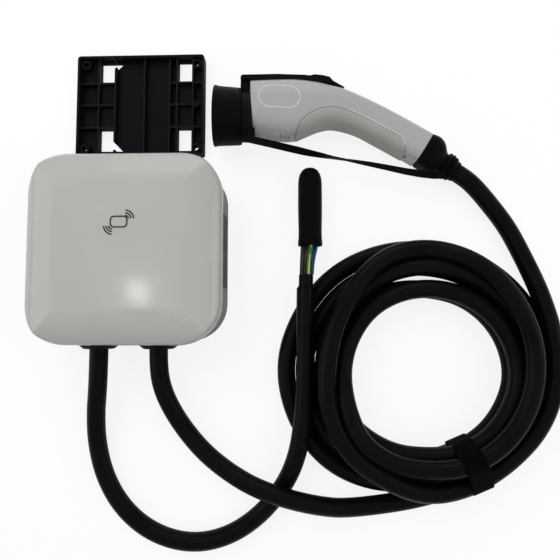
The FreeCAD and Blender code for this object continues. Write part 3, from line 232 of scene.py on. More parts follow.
# painted highlight: a shell colour much lighter than the shell, for the light lines that the badge's rim and the
# grip's upper edge catch
SHELL_PAINTED_HIGHLIGHT = Finish("shell_painted_highlight", "shell_white", (0.68, 0.68, 0.67), 0.4)
GRIP = Finish("grip_soft", "grip_grey", (0.37, 0.37, 0.335), 0.42, 0.08, 0.5, 0.02)
GRIP_SEAM = Finish("grip_seam", "grip_grey", (0.15, 0.15, 0.135), 0.5)
INK = Finish("ink_black", "device_black", (0.012, 0.012, 0.012), 0.4)

BY_SLOT = {finish.slot: finish for finish in (
    COVER, HOUSING, SEAL, PLATE, STEEL, BOARD, DEVICE, DEVICE_BLUE, TERMINAL, BRASS, GLAND, CABLE, BRACKET,
    END_CAP, CORE_DARK, CORE_BROWN, CORE_EARTH, CORE_BLUE, STRAP, PLUG_BLACK, CAP_RUBBER, SHELL, GRIP)}
NODE_FINISHES = {name: BY_SLOT[node.data.materials[0].name.split(".")[0]]
                 for name, node in frame["nodes"].items()}


# making pieces

def linked(name: str, data: bpy.types.ID, finish: Finish) -> Thing:
    """Puts a mesh or a curve into the scene with its finish."""
    data.materials.append(finish.material())
    thing = bpy.data.objects.new(name, data)
    bpy.context.scene.collection.objects.link(thing)
    return thing


def finish_piece(work: Mesh, name: str, body: Body | None, finish: Finish,
                 where: Matrix | None = None, stands_for: Sequence[str] = (), sharp: float = 35.0,
                 bevel: float = 0.0) -> Thing:
    """Turns a bmesh in millimetres into a finished piece that rides on a body.

    Args:
        work: The mesh, freed here.
        name: The piece's name.
        body: The body that it moves with, or None for one that spans two and is attached to neither.
        finish: Its material.
        where: Where the mesh's own frame lies, in millimetres.
        stands_for: The solids that it takes the place of.
        sharp: The angle in degrees above which an edge stays sharp.
        bevel: Width in millimetres of a live bevel on its sharp edges.

    Returns:
        The finished object at the origin.
    """
    matrix = Matrix.Scale(MM, 4) @ (where if where is not None else Matrix.Identity(4))
    bmesh.ops.transform(work, matrix=matrix, verts=work.verts)
    for face in work.faces:
        face.smooth = True
    mesh = bpy.data.meshes.new(name)
    work.to_mesh(mesh)
    work.free()
    mesh.set_sharp_from_angle(angle=math.radians(sharp))
    thing = linked(name, mesh, finish)
    if bevel > 0:
        soft = thing.modifiers.new("soft_edges", "BEVEL")
        soft.width = bevel * MM
        soft.segments = 2
        soft.limit_method = "ANGLE"
        soft.angle_limit = math.radians(sharp)
        soft.harden_normals = True
    return register(thing, body, finish, stands_for)


def walled(thing: Thing, thick: float, offset: float) -> Thing:
    """Gives an open skin a live wall of a thickness in millimetres."""
    wall = thing.modifiers.new("wall", "SOLIDIFY")
    wall.thickness = thick * MM
    wall.offset = offset
    return thing


def register(thing: Thing, body: Body | None, finish: Finish,
             stands_for: Sequence[str] = ()) -> Thing:
    """Makes an object ride on its body, hides the solids that it stands for and logs its body."""
    if body is not None:
        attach(thing, body.value)
    if stands_for:
        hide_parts(*stands_for)
    LOG.info("%s rides on %s", thing.name, body.value if body else "two bodies")
    return thing


def softened(node: str, body: Body, bevel: float, sharp: float = 32.0,
             reshape: Callable[[Vector], Vector] | None = None) -> Thing:
    """A merged copy of a solid with smooth faces and soft edges.

    Args:
        node: The solid's name.
        body: The body that it moves with.
        bevel: Width in millimetres of the rounding on its edges.
        sharp: The angle in degrees above which an edge counts as one.
        reshape: Where each point of the copy goes, in the plug's own frame.

    Returns:
        The piece that stands for the solid.
    """
    work = bmesh.new()
    work.from_mesh(frame["nodes"][node].data)
    bmesh.ops.scale(work, vec=(1 / MM,) * 3, verts=work.verts)
    bmesh.ops.remove_doubles(work, verts=work.verts, dist=20 * MERGE)
    if bevel > 0:
        bmesh.ops.dissolve_limit(work, angle_limit=math.radians(0.5), verts=work.verts, edges=work.edges)
    if reshape is not None:
        bmesh.ops.transform(work, matrix=PLUG.inverted(), verts=work.verts)
        for vert in work.verts:
            vert.co = PLUG @ reshape(vert.co)
    return finish_piece(work, f"{node}_finished", body, NODE_FINISHES[node], stands_for=(node,),
                        sharp=sharp, bevel=bevel)


def laid_grid(rows: int, columns: int, place: Callable[[int, int], Vector]) -> Mesh:
    """A grid whose points go where place says, by their row and column."""
    work = bmesh.new()
    bmesh.ops.create_grid(work, x_segments=rows, y_segments=columns, size=1.0)
    for vert in work.verts:
        vert.co = place(round((vert.co.x + 1) / 2 * rows), round((vert.co.y + 1) / 2 * columns))
    return work


def closed_up(work: Mesh, merge: float = 0.0) -> Mesh:
    """Merges near points if asked, fills the open ends and turns all faces outward."""
    if merge > 0:
        bmesh.ops.remove_doubles(work, verts=work.verts, dist=merge)
    bmesh.ops.holes_fill(work, edges=[edge for edge in work.edges if edge.is_boundary], sides=0)
    bmesh.ops.recalc_face_normals(work, faces=work.faces)
    return work


def turned_piece(profile: Sequence[Pair], steps: int = 64) -> Mesh:
    """Spins a profile of (radius, height) about the Z axis into a closed skin.

    Args:
        profile: The outline from one end of the axis to the other.
        steps: How many steps go round.

    Returns:
        The spun mesh in millimetres.
    """
    def place(row: int, column: int) -> Vector:
        turn = 2 * math.pi * column / steps
        radius, height = profile[row]
        return Vector((radius * math.cos(turn), radius * math.sin(turn), height))

    return closed_up(laid_grid(len(profile) - 1, steps, place), 10 * MERGE)


def round_curve(name: str, kind: str, lines: Sequence[Sequence[Point]], radius: float,
                rounding: int) -> bpy.types.Curve:
    """A round curve of one kind of spline through rows of points in millimetres."""
    data = bpy.data.curves.new(name, "CURVE")
    data.dimensions = "3D"
    data.resolution_u = 8
    data.bevel_depth = radius * MM
    data.bevel_resolution = rounding
    data.use_fill_caps = True
    for line in lines:
        spline = data.splines.new(kind)
        spline.points.add(len(line) - 1)
        for spot, point in zip(spline.points, line):
            spot.co = (*(c * MM for c in point), 1)
    return data


def tube(name: str, points: Sequence[Point], radius: float, body: Body, finish: Finish,
         stands_for: Sequence[str] = ()) -> Thing:
    """A round cord as one NURBS spline with its route's points as control points.

    Args:
        name: The piece's name.
        points: The route in millimetres.
        radius: The cord's radius in millimetres.
        body: The body that it rides on.
        finish: Its material.
        stands_for: The solids that it takes the place of.

    Returns:
        The curve object.
    """
    data = round_curve(name, "NURBS", [points], radius, 7)
    data.splines[0].order_u = 3
    data.splines[0].use_endpoint_u = True
    return register(linked(name, data, finish), body, finish, stands_for)


def line_piece(name: str, lines: Sequence[Sequence[Vector]], radius: float, body: Body, finish: Finish,
               closed: Sequence[bool]) -> Thing:
    """Thin raised lines through points in millimetres, as one piece.

    Args:
        name: The piece's name.
        lines: The rows of points.
        radius: Half the lines' thickness in millimetres.
        body: The body that it rides on.
        finish: Its material.
        closed: Whether each row closes on itself.

    Returns:
        The curve object.
    """
    data = round_curve(name, "POLY", lines, radius, 3)
    for spline, joined in zip(data.splines, closed):
        spline.use_cyclic_u = joined
    return register(linked(name, data, finish), body, finish)


def frames_along(points: Sequence[Vector], across: Vector, turns: Sequence[float] = ()) -> list[Matrix]:
    """Frames that follow a row of points, x along it and y across it.

    Args:
        points: The row in millimetres.
        across: Which way y looks where nothing is turned.
        turns: How far each frame is turned about its x, in degrees.

    Returns:
        One frame for each point.
    """
    frames = []
    for index, spot in enumerate(points):
        run = (points[min(index + 1, len(points) - 1)] - points[max(index - 1, 0)]).normalized()
        side = (across - run * across.dot(run)).normalized()
        turn = Matrix((run, side, run.cross(side))).transposed().to_4x4()
        twist = Matrix.Rotation(math.radians(turns[index]) if turns else 0.0, 4, "X")
        frames.append(Matrix.Translation(spot) @ turn @ twist)
    return frames


def eased(rows: Sequence, share: float) -> object:
    """A smooth curve through four values, at a share of the way from the second to the third."""
    a, b, c, d = rows
    return 0.5 * (2 * b + (c - a) * share + (2 * a - 5 * b + 4 * c - d) * share ** 2
                  + (3 * b - a - 3 * c + d) * share ** 3)


def ribbon(frames: Sequence[Matrix], wide: float, thick: float) -> Mesh:
    """Carries a flat section through a row of frames and closes its ends.

    Args:
        frames: Where the section goes, x along, y across and z through it.
        wide: The section's width in millimetres.
        thick: Its thickness in millimetres.

    Returns:
        The closed band in millimetres.
    """
    work = bmesh.new()
    bmesh.ops.create_grid(work, x_segments=1, y_segments=1, size=0.5)
    bmesh.ops.delete(work, geom=work.faces[:], context="FACES_ONLY")
    upright = Matrix.Rotation(math.pi / 2, 4, "Y") @ Matrix.Diagonal((thick, wide, 1, 1))
    bmesh.ops.transform(work, matrix=frames[0] @ upright, verts=work.verts)
    ring = work.edges[:]
    for before, here in zip(frames, frames[1:]):
        grown = bmesh.ops.extrude_edge_only(work, edges=ring)["geom"]
        fresh = {item for item in grown if isinstance(item, bmesh.types.BMVert)}
        ring = [item for item in grown if isinstance(item, bmesh.types.BMEdge)
                and set(item.verts) <= fresh]
        bmesh.ops.transform(work, matrix=here @ before.inverted(), verts=list(fresh))
    return closed_up(work)


# camera, floor and lamps

@dataclass
class Studio:
    """The camera at the photograph's angle, a pale floor and soft lamps."""

    eye: Point = (160.59, -65.16, 555.0)
    tilt: Pair = (4.122, 2.058)
    lens: float = 35.68
    floor_size: float = 6.0
    floor_drop: float = 0.0002
    glow: float = 1.04
    glow_share: float = 0.8
    sky: float = 0.4
    lamps: Sequence[tuple[str, Point, Point, float, float, bool]] = (
        ("key", (-500, 700, 1200), (120, 0, 20), 1.0, 8.0, False),
        ("fill", (1000, -200, 1000), (150, -60, 20), 1.0, 5.0, False),
        ("left_box", (-1500, 0, 900), (60, 0, 20), 1.5, 4.5, True),
        ("top_box", (100, 1700, 900), (60, 40, 20), 1.5, 4.5, True),
        ("right_strip", (1600, 100, 700), (160, -40, 20), 0.6, 1.0, True),
        ("flash", (-151, -11, 651), (60, -40, 40), 0.035, 0.06, True))

    def build(self) -> None:
        """Makes the camera, the floor, the world and the lamps."""
        camera = bpy.data.cameras.new("camera")
        camera.lens = self.lens
        camera.sensor_width = 36
        eye = bpy.data.objects.new("camera", camera)
        eye.location = Vector(self.eye) * MM
        eye.rotation_euler = Euler((math.radians(self.tilt[0]), math.radians(self.tilt[1]), 0))
        scene = bpy.context.scene
        scene.collection.objects.link(eye)
        scene.camera = eye
        scene.view_settings.view_transform = "Standard"
        self._floor()
        self._world()
        for row in self.lamps:
            self._lamp(*row)

    def _floor(self) -> None:
        """A pale floor that the camera sees nearly white and that keeps the shadow."""
        work = bmesh.new()
        bmesh.ops.create_grid(work, x_segments=2, y_segments=2, size=self.floor_size / 2)
        mesh = bpy.data.meshes.new("floor")
        work.to_mesh(mesh)
        work.free()
        floor = bpy.data.objects.new("floor", mesh)
        bpy.context.scene.collection.objects.link(floor)
        floor.location.z = -self.floor_drop
        material = bpy.data.materials.new("floor_paper")
        material.use_nodes = True
        tree = material.node_tree
        shader = tree.nodes["Principled BSDF"]
        shader.inputs["Base Color"].default_value = (0.9, 0.9, 0.9, 1)
        shader.inputs["Roughness"].default_value = 0.9
        glow = add_node(tree, "Emission", {}, Strength=self.glow)
        share = add_node(tree, "Math", {})
        share.operation = "MULTIPLY"
        share.inputs[1].default_value = self.glow_share
        tree.links.new(add_node(tree, "LightPath", {}).outputs["Is Camera Ray"], share.inputs[0])
        blend = add_node(tree, "MixShader", {"Fac": share.outputs[0]})
        tree.links.new(shader.outputs["BSDF"], blend.inputs[1])
        tree.links.new(glow.outputs["Emission"], blend.inputs[2])
        tree.links.new(blend.outputs["Shader"], tree.nodes["Material Output"].inputs["Surface"])
        mesh.materials.append(material)

    def _world(self) -> None:
        """An even pale world, white to the camera."""
        world = bpy.data.worlds.new("studio")
        bpy.context.scene.world = world
        world.use_nodes = True
        tree = world.node_tree
        sky = tree.nodes["Background"]
        sky.inputs["Color"].default_value = (0.9, 0.92, 0.95, 1)
        rays = add_node(tree, "LightPath", {}).outputs["Is Camera Ray"]
        share = add_node(tree, "MapRange", {"Value": rays}, To_Min=self.sky, To_Max=1.0)
        tree.links.new(share.outputs["Result"], sky.inputs["Strength"])

    @staticmethod
    def _lamp(name: str, at: Point, toward: Point, size: float, watts: float, mirrored: bool) -> None:
        """A soft square lamp, placed and aimed in millimetres, that gloss mirrors or not."""
        lamp = bpy.data.lights.new(name, "AREA")
        lamp.size = size
        lamp.energy = watts
        thing = bpy.data.objects.new(name, lamp)
        thing.location = Vector(at) * MM
        thing.visible_glossy = mirrored
        aim = Vector(toward) - Vector(at)
        thing.rotation_euler = aim.to_track_quat("-Z", "Y").to_euler()
        bpy.context.scene.collection.objects.link(thing)


# cables

@dataclass
class SupplyLead:
    """The supply lead: jacket, inner sheath, four bare cores and a shrunk end cap."""

    jacket: float = CABLE_RADIUS
    core: float = 2.3
    neck: float = 6.8
    neck_long: float = 13.0
    mouth: Point = (170.8, 7.4, 12.15)
    cap: float = 12.0
    cap_long: float = 78.0
    cap_depth: float = 22.0
    route: Sequence[Point] = (
        (-31, -92.3, 29), (-31, -111, 29), (-33, -132, 24.8), (-37, -156, 17), (-37.6, -184, 10.4),
        (-30.5, -214, 9), (-15.5, -241, 9), (7, -262.5, 9), (35, -275.5, 9), (65, -278.5, 9),
        (95, -270, 9), (121.5, -252, 9), (142.5, -227, 12), (156.5, -197, 24.5), (163, -163, 27.2),
        (166, -112, 27.2), (165.6, -66, 27.2), (166.2, -34.8, 26.8))
    cores: Sequence[tuple[str, Finish, Pair, Pair]] = (
        ("core_dark", CORE_DARK, (-3.8, 0.8), (-6.8, 0.0)),
        ("core_brown", CORE_BROWN, (-1.4, -0.6), (-3.2, -0.6)),
        ("core_earth", CORE_EARTH, (2.2, 3.4), (1.6, 3.4)),
        ("core_blue", CORE_BLUE, (5.2, -0.6), (6.6, -0.6)))

    def _end(self) -> tuple[Vector, Vector]:
        """Where the jacket ends, and which way it looks there."""
        end = Vector(self.route[-1])
        return end, (end - Vector(self.route[-2])).normalized()

    def _core_route(self, from_neck: Pair, in_cap: Pair) -> list[Point]:
        """The way of one core from the sheath's end into the cap."""
        end, axis = self._end()
        tip = end + axis * self.neck_long
        aside = Vector((from_neck[0], 0, from_neck[1]))
        start = tip + aside - axis * aside.dot(axis)
        floor = Vector(self.mouth) + Vector((in_cap[0], self.cap_depth, in_cap[1]))
        return [tuple(start), tuple(start + axis * (12 + 0.32 * from_neck[1])),
                tuple(floor - Vector((0, 19 - 0.32 * in_cap[1], 0))), tuple(floor)]

    def _sheath(self) -> Thing:
        """The inner sheath with a rolled lip where the jacket was cut."""
        end, axis = self._end()
        work = turned_piece([(0, -4), (self.neck, -4), (self.neck, 0.4), (self.neck + 1.1, 0.6),
                             (self.neck + 1.1, 1.4), (self.neck, 1.8), (self.neck, self.neck_long - 0.6),
                             (self.neck - 0.6, self.neck_long), (0, self.neck_long)], 48)
        where = Matrix.Translation(end) @ axis.to_track_quat("Z", "Y").to_matrix().to_4x4()
        return finish_piece(work, "sheath_collar", Body.BOX, CABLE, where, ("sheath_end",))

    def _cap(self) -> Thing:
        """The closed shrunk sleeve over the cores' ends, slightly uneven along its length."""
        size, tall = self.cap, self.cap_long
        skin = [(size - 1.4, self.cap_depth), (size - 1.4, 0.8), (size - 0.8, 0), (size - 0.2, 0.2),
                (size, 1.2), (size - 0.1, 5), (size - 0.5, 8), (size - 0.6, 16), (size - 0.25, 30),
                (size - 0.15, 48), (size - 0.3, 62), (size - 0.7, 67), (size - 1.9, 71.5),
                (size - 4.2, 75.2), (size - 7, 77.2), (0, tall)]
        where = Matrix.Translation(self.mouth) @ Matrix.Rotation(-math.pi / 2, 4, "X")
        return finish_piece(turned_piece([(0, self.cap_depth), *skin]), "shrunk_cap", Body.BOX, END_CAP,
                            where, ("end_cap",), sharp=50)

    def build(self) -> None:
        lead = tube("supply_cable", self.route, self.jacket, Body.BOX, CABLE, ("supply_lead",))
        pieces = [self._sheath(), self._cap()]
        for name, finish, from_neck, in_cap in self.cores:
            way = self._core_route(from_neck, in_cap)
            pieces.append(tube(f"{name}_wire", way, self.core, Body.BOX, finish, (name,)))
            if finish is CORE_EARTH:
                raised = [(x + 0.15, y, z + 1.05) for x, y, z in way]
                pieces.append(tube("earth_stripe", raised, self.core - 0.95, Body.BOX, EARTH_STRIPE))
        tuple(c * MM for c in self.route[0])


@dataclass
class ChargingCable:
    """The charging cable: out of the box, round the coil and on to the plug."""

    radius: float = CABLE_RADIUS
    cut_inside: float = 0.981
    step: float = 22.5
    out: Sequence[Point] = (
        (26.5, -92.3, 29), (26.5, -110.5, 29), (30, -131, 25.8), (38.5, -151, 21.5), (52.5, -172.5, 18.5),
        (71, -192.5, 18.8), (94, -208.5, 23), (119, -220.5, 29.2), (147, -229.2, 31),
        (176, -237.5, 24.4), (205, -243.2, 14), (236, -242.5, 9.1))
    home: Sequence[Point] = (
        (391.5, -47, 18), (386, -27, 13.5), (375.5, 0, 9.8), (362.5, 26.5, 9.6), (344, 50.2, 12.2),
        (326.8, 69, 15.87), (311.8, 79, 16.78), *(tuple(PLUG @ Vector((x, y, 0))) for x, y in (
            (221.2, -39.6), (186, -20.4), (155, -4.2), (128, 7.5), (106, 11.5))))
    turns: Sequence[tuple[float, float, float]] = (
        (266, 122, 8.9), (290, 115.2, 8.9), (360, 115.2, 8.9), (405, 116.5, 8.9), (450, 121, 8.9),
        (495, 129, 8.9), (540, 134.7, 8.9), (570, 130, 8.9), (600, 119, 8.9), (622, 106, 8.9),
        (650, 98.5, 8.9), (720, 98, 8.9), (765, 99, 8.9), (810, 103.7, 8.9), (855, 111.5, 8.9),
        (900, 117, 8.9), (930, 112.5, 8.9), (945, 108.5, 8.9), (960, 101.5, 8.9), (982, 88.5, 8.9),
        (1000, 82, 8.9), (1020, 80.75, 8.9), (1170, 80.75, 8.9), (1215, 92.5, 8.9), (1260, 99.2, 8.9),
        (1280, 97.5, 12), (1295, 95.5, 19), (1310, 95, 26), (1340, 96.5, 26.4), (1380, 98, 26.4),
        (1440, 98, 26.4), (1485, 99.5, 26.4), (1530, 103.9, 26.4), (1575, 102, 24.5),
        (1620, 98.7, 26.4), (1640, 90, 27.8), (1655, 80.5, 27.5), (1670, 77.5, 26.5),
        (1700, 79.2, 26.4), (1740, 80.75, 26.4), (1890, 81, 26.4), (1935, 84, 25), (1965, 81.5, 26.6),
        (1980, 81.3, 30), (1990, 80, 36), (2000, 80.5, 42.5), (2015, 82.5, 44.8), (2030, 84, 42.8),
        (2060, 88, 41.6), (2090, 89.4, 41.6), (2160, 89.4, 41.6), (2205, 101, 43.9), (2220, 109, 42),
        (2235, 117.5, 35), (2250, 121, 27.5), (2265, 120.5, 31), (2280, 115, 38), (2295, 105, 41.8),
        (2320, 98, 43.8), (2340, 95, 43.5), (2360, 98.5, 43), (2375, 99.5, 38.5), (2390, 101.5, 42.3),
        (2405, 104.5, 41.3), (2420, 111.5, 35.5), (2435, 115, 28.5), (2450, 115.3, 26.4),
        (2520, 115.3, 26.4), (2540, 119, 25.2))
    press_step: float = 15.0
    press_inner: Sequence[float] = (
        1.2, 0.4, 0, -0.4, -0.5, -0.8, -1, -1.2, -2, -2.6, -2, -0.8, 0.4, 2.4, 3.5, 5.6, 2.3, -2.1, -5.6,
        -4.2, -3.4, -2.7, -2.4, -0.8)
    press_outer: Sequence[float] = (
        0, 0, 0, -0.3, -0.3, -1.6, -2.6, -1.6, -0.3, 0, 0, 1.6, 1.4, 0.8, 0.9, 0, -2.8, -4.2, -5.6, -8.4, -10.6,
        -10.6, -7, -2.4)
    inner_radius: float = 85.0
    heap_width: float = 30.0

    def _squeeze(self, angle: float, radius: float) -> float:
        """How far the heap is pressed in or out at an angle, for its inner and outer strands."""
        share, count = angle % 360 / self.press_step, len(self.press_inner)
        index = int(share) % count
        inner, outer = (row[index] + (row[(index + 1) % count] - row[index]) * (share % 1)
                        for row in (self.press_inner, self.press_outer))
        weight = min(max((radius - self.inner_radius) / self.heap_width, 0), 1)
        return inner * (1 - weight) + outer * weight

    def _at(self, angle: float) -> Point:
        """The wound strand's middle at an angle, between the named stations of its turns."""
        for (a, r0, z0), (b, r1, z1) in zip(self.turns, self.turns[1:]):
            if angle <= b:
                share = (angle - a) / (b - a)
                ease = share * share * (3 - 2 * share) * 0.5 + share * 0.5
                radius, height = (r0 + (r1 - r0) * ease) / self.cut_inside, z0 + (z1 - z0) * ease
                break
        radius += self._squeeze(angle, radius)
        turn = math.radians(angle)
        return (COIL_HUB[0] + radius * math.cos(turn), COIL_HUB[1] + radius * math.sin(turn), height)

    def _route(self) -> list[Point]:
        """All control points, from the gland to the plug's boot."""
        first, last = self.turns[0][0], self.turns[-1][0]
        count = round((last - first) / self.step)
        wound = [self._at(first + (last - first) * i / count) for i in range(count + 1)]
        return [*self.out[:-1], *wound, *self.home]

    def build(self, plug_pieces: Sequence[Thing]) -> Thing:
        cable = tube("charging_cable", self._route(), self.radius, Body.BOX, CABLE,
                     ("charge_cable_out", "cable_coil", "charge_cable_in", "plug_lead"))
        tuple(c * MM for c in self.out[0])
        return cable


@dataclass
class CoilTie:
    """The woven strap drawn round the coil's turns at its lower right."""

    angle: float = -66.5
    wide: float = 20.0
    thick: float = 1.5
    slack: float = 0.6
    arc_steps: int = 5
    strands: Sequence[Pair] = (
        (77.7, 8.9), (77.7, 26.4), (85, 42.2), (104.4, 27.4), (104.8, 8.9))

    def _profile(self) -> list[Pair]:
        """Radius and height of the strap's middle, drawn tight over the outermost turns."""
        reach = CABLE_RADIUS + self.slack + self.thick / 2
        looks = [225.0, 180.0]
        for (r0, z0), (r1, z1) in zip(self.strands[1:], self.strands[2:]):
            looks.append(math.degrees(math.atan2(z1 - z0, r1 - r0)) + 90)
        looks.append(-45.0)
        spots = []
        for (radius, height), start, stop in zip(self.strands, looks, looks[1:]):
            for step in range(self.arc_steps + 1):
                look = math.radians(start + (stop - start) * step / self.arc_steps)
                spots.append((radius + reach * math.cos(look), height + reach * math.sin(look)))
        return spots

    def build(self) -> Thing:
        """Makes the strap."""
        turn = math.radians(self.angle)
        out = Vector((math.cos(turn), math.sin(turn), 0))
        across = Vector((-math.sin(turn), math.cos(turn), 0))
        points = [Vector((*COIL_HUB, 0)) + out * r + Vector((0, 0, max(z, 1.0))) for r, z in self._profile()]
        work = ribbon(frames_along(points, across), self.wide, self.thick)
        return finish_piece(work, "coil_strap", Body.BOX, STRAP, stands_for=("coil_tie",), sharp=40,
                            bevel=0.3)


# the box

@dataclass
class FrontCover:
    """The cushion-shaped cover: two crossed vaults that meet in soft creases, with a rolled rim."""

    half: Pair = (90.0, 88.0)
    corner: float = 39.0
    crown: float = 74.0
    rise: float = 14.0
    flat: float = 55.0
    reach: float = 90.0
    low: float = 50.0
    wall: float = 3.0
    rim_soft: float = 4.0
    crease: float = 9.0
    cells: int = 120
    rim_rings: int = 9
    roll_rings: int = 6

    def _contour(self, look: Vector, inset: float) -> tuple[Vector, Vector]:
        """The point of the inset outline in a direction from the middle, and its outward normal."""
        wide, tall, corner = self.half[0] - inset, self.half[1] - inset, self.corner - inset
        way = Vector((abs(look.x), abs(look.y))).normalized()
        core = Vector((wide - corner, tall - corner))
        if way.y * wide <= core.y * way.x:
            spot, normal = Vector((wide, way.y / way.x * wide)), Vector((1, 0))
        elif way.x * tall <= core.x * way.y:
            spot, normal = Vector((way.x / way.y * tall, tall)), Vector((0, 1))
        else:
            along = way.dot(core)
            spot = way * (along + math.sqrt(along ** 2 - core.length_squared + corner ** 2))
            normal = (spot - core).normalized()
        sign = Vector((math.copysign(1, look.x), math.copysign(1, look.y)))
        return spot * sign, normal * sign

    def _height(self, spot: Vector) -> float:
        """Height of the cushion over a point of the plan."""
        bend = ((self.reach - self.flat) ** 2 + self.rise ** 2) / (2 * self.rise)
        drops = []
        for value in spot:
            past = max(0.0, abs(value) - self.flat)
            drops.append(bend - math.sqrt(bend ** 2 - past ** 2))
        return self.crown - (drops[0] ** self.crease + drops[1] ** self.crease) ** (1 / self.crease)

    def _lay(self, u: float, v: float) -> Vector:
        """Where a spot of the flat grid goes: on the cushion, on the rolled rim or down the side."""
        ring = max(abs(u), abs(v))
        if ring < 1e-9:
            return Vector((0, 0, self.crown))
        look = Vector((u * self.half[0], v * self.half[1]))
        base, normal = self._contour(look, self.rim_soft)
        inner = 1 - 2 * self.rim_rings / self.cells
        step = round((ring - inner) / (1 - inner) * self.rim_rings)
        if step <= 0:
            spot = base * (ring / inner)
            return Vector((*spot, self._height(spot)))
        edge = self._height(base)
        slope = edge - self._height(base - normal)
        share = min(step / self.roll_rings, 1)
        past = self.rim_soft * (2 * share * (1 - share) + share ** 2)
        side = edge + slope * self.rim_soft
        level = (edge * (1 - share) ** 2 + 2 * share * (1 - share) * side
                 + share ** 2 * (side - self.rim_soft))
        if step > self.roll_rings:
            level += (self.low - level) * (step - self.roll_rings) / (self.rim_rings - self.roll_rings)
        return Vector((*(base + normal * past), level))

    def build(self) -> Thing:
        """Makes the cover from a flat grid that is laid over its form, then gives it its wall."""
        half = self.cells / 2
        work = laid_grid(self.cells, self.cells, lambda row, column: self._lay(row / half - 1, column / half - 1))
        bmesh.ops.recalc_face_normals(work, faces=work.faces)
        if sum(face.normal.z for face in work.faces) < 0:
            bmesh.ops.reverse_faces(work, faces=work.faces)
        cover = finish_piece(work, "cover_cushion", Body.BOX, COVER, stands_for=("front_cover",), sharp=50)
        return walled(cover, self.wall, -1)


@dataclass
class CardSymbol:
    """The printed contactless symbol: a card's outline with three waves at two of its corners."""

    low: Pair = (-7.1, 17.0)
    high: Pair = (7.65, 26.55)
    corner: float = 3.3
    line: float = 0.66
    level: float = 73.95
    waves: Sequence[float] = (3.1, 5.4, 7.8)

    def _outline(self) -> list[Vector]:
        """The card's rounded outline."""
        spots = []
        for x, y, start in ((self.high[0], self.high[1], 0), (self.low[0], self.high[1], 90),
                            (self.low[0], self.low[1], 180), (self.high[0], self.low[1], 270)):
            middle = (x - math.copysign(self.corner, x), y - math.copysign(self.corner, y - self.high[1] + 1))
            spots += [self._spot(middle, self.corner, start + 15 * step) for step in range(7)]
        return spots

    def _spot(self, middle: Pair, radius: float, look: float) -> Vector:
        """A point round a middle on the cover's flat crown."""
        turn = math.radians(look)
        return Vector((middle[0] + radius * math.cos(turn), middle[1] + radius * math.sin(turn), self.level))

    def build(self) -> Thing:
        """Makes the symbol's thin raised lines."""
        lines, closed = [self._outline()], [True]
        for middle, start in (((5.9, 24.2), 4), ((-5.3, 18.3), 184)):
            for radius in self.waves:
                lines.append([self._spot(middle, radius, start + 82 * step / 12) for step in range(13)])
                closed.append(False)
        return line_piece("card_symbol", lines, self.line, Body.BOX, INK, closed)


@dataclass
class WallBox:
    """The box: its cover with the symbol, the housing, the glands and the parts that show."""

    edges: Sequence[tuple[str, float]] = (
        ("rear_housing", 0.5), ("side_plate", 0.3), ("gland_body_in", 0.4), ("gland_body_out", 0.4),
        ("gland_nut_in", 0.5), ("gland_nut_out", 0.5), ("cover_gasket", 0.0), ("cover_screws", 0.2))

    def build(self) -> None:
        """Makes every visible piece of the box."""
        FrontCover().build()
        CardSymbol().build()
        for node, edge in self.edges:
            softened(node, Body.BOX, edge)


@dataclass
class WallBracket:
    """The ribbed bracket beside the box."""

    edge: float = 0.45

    def build(self) -> None:
        """Makes the bracket with soft moulded edges."""
        softened("wall_bracket", Body.BOX, self.edge)


# vehicle plug

# vehicle plug

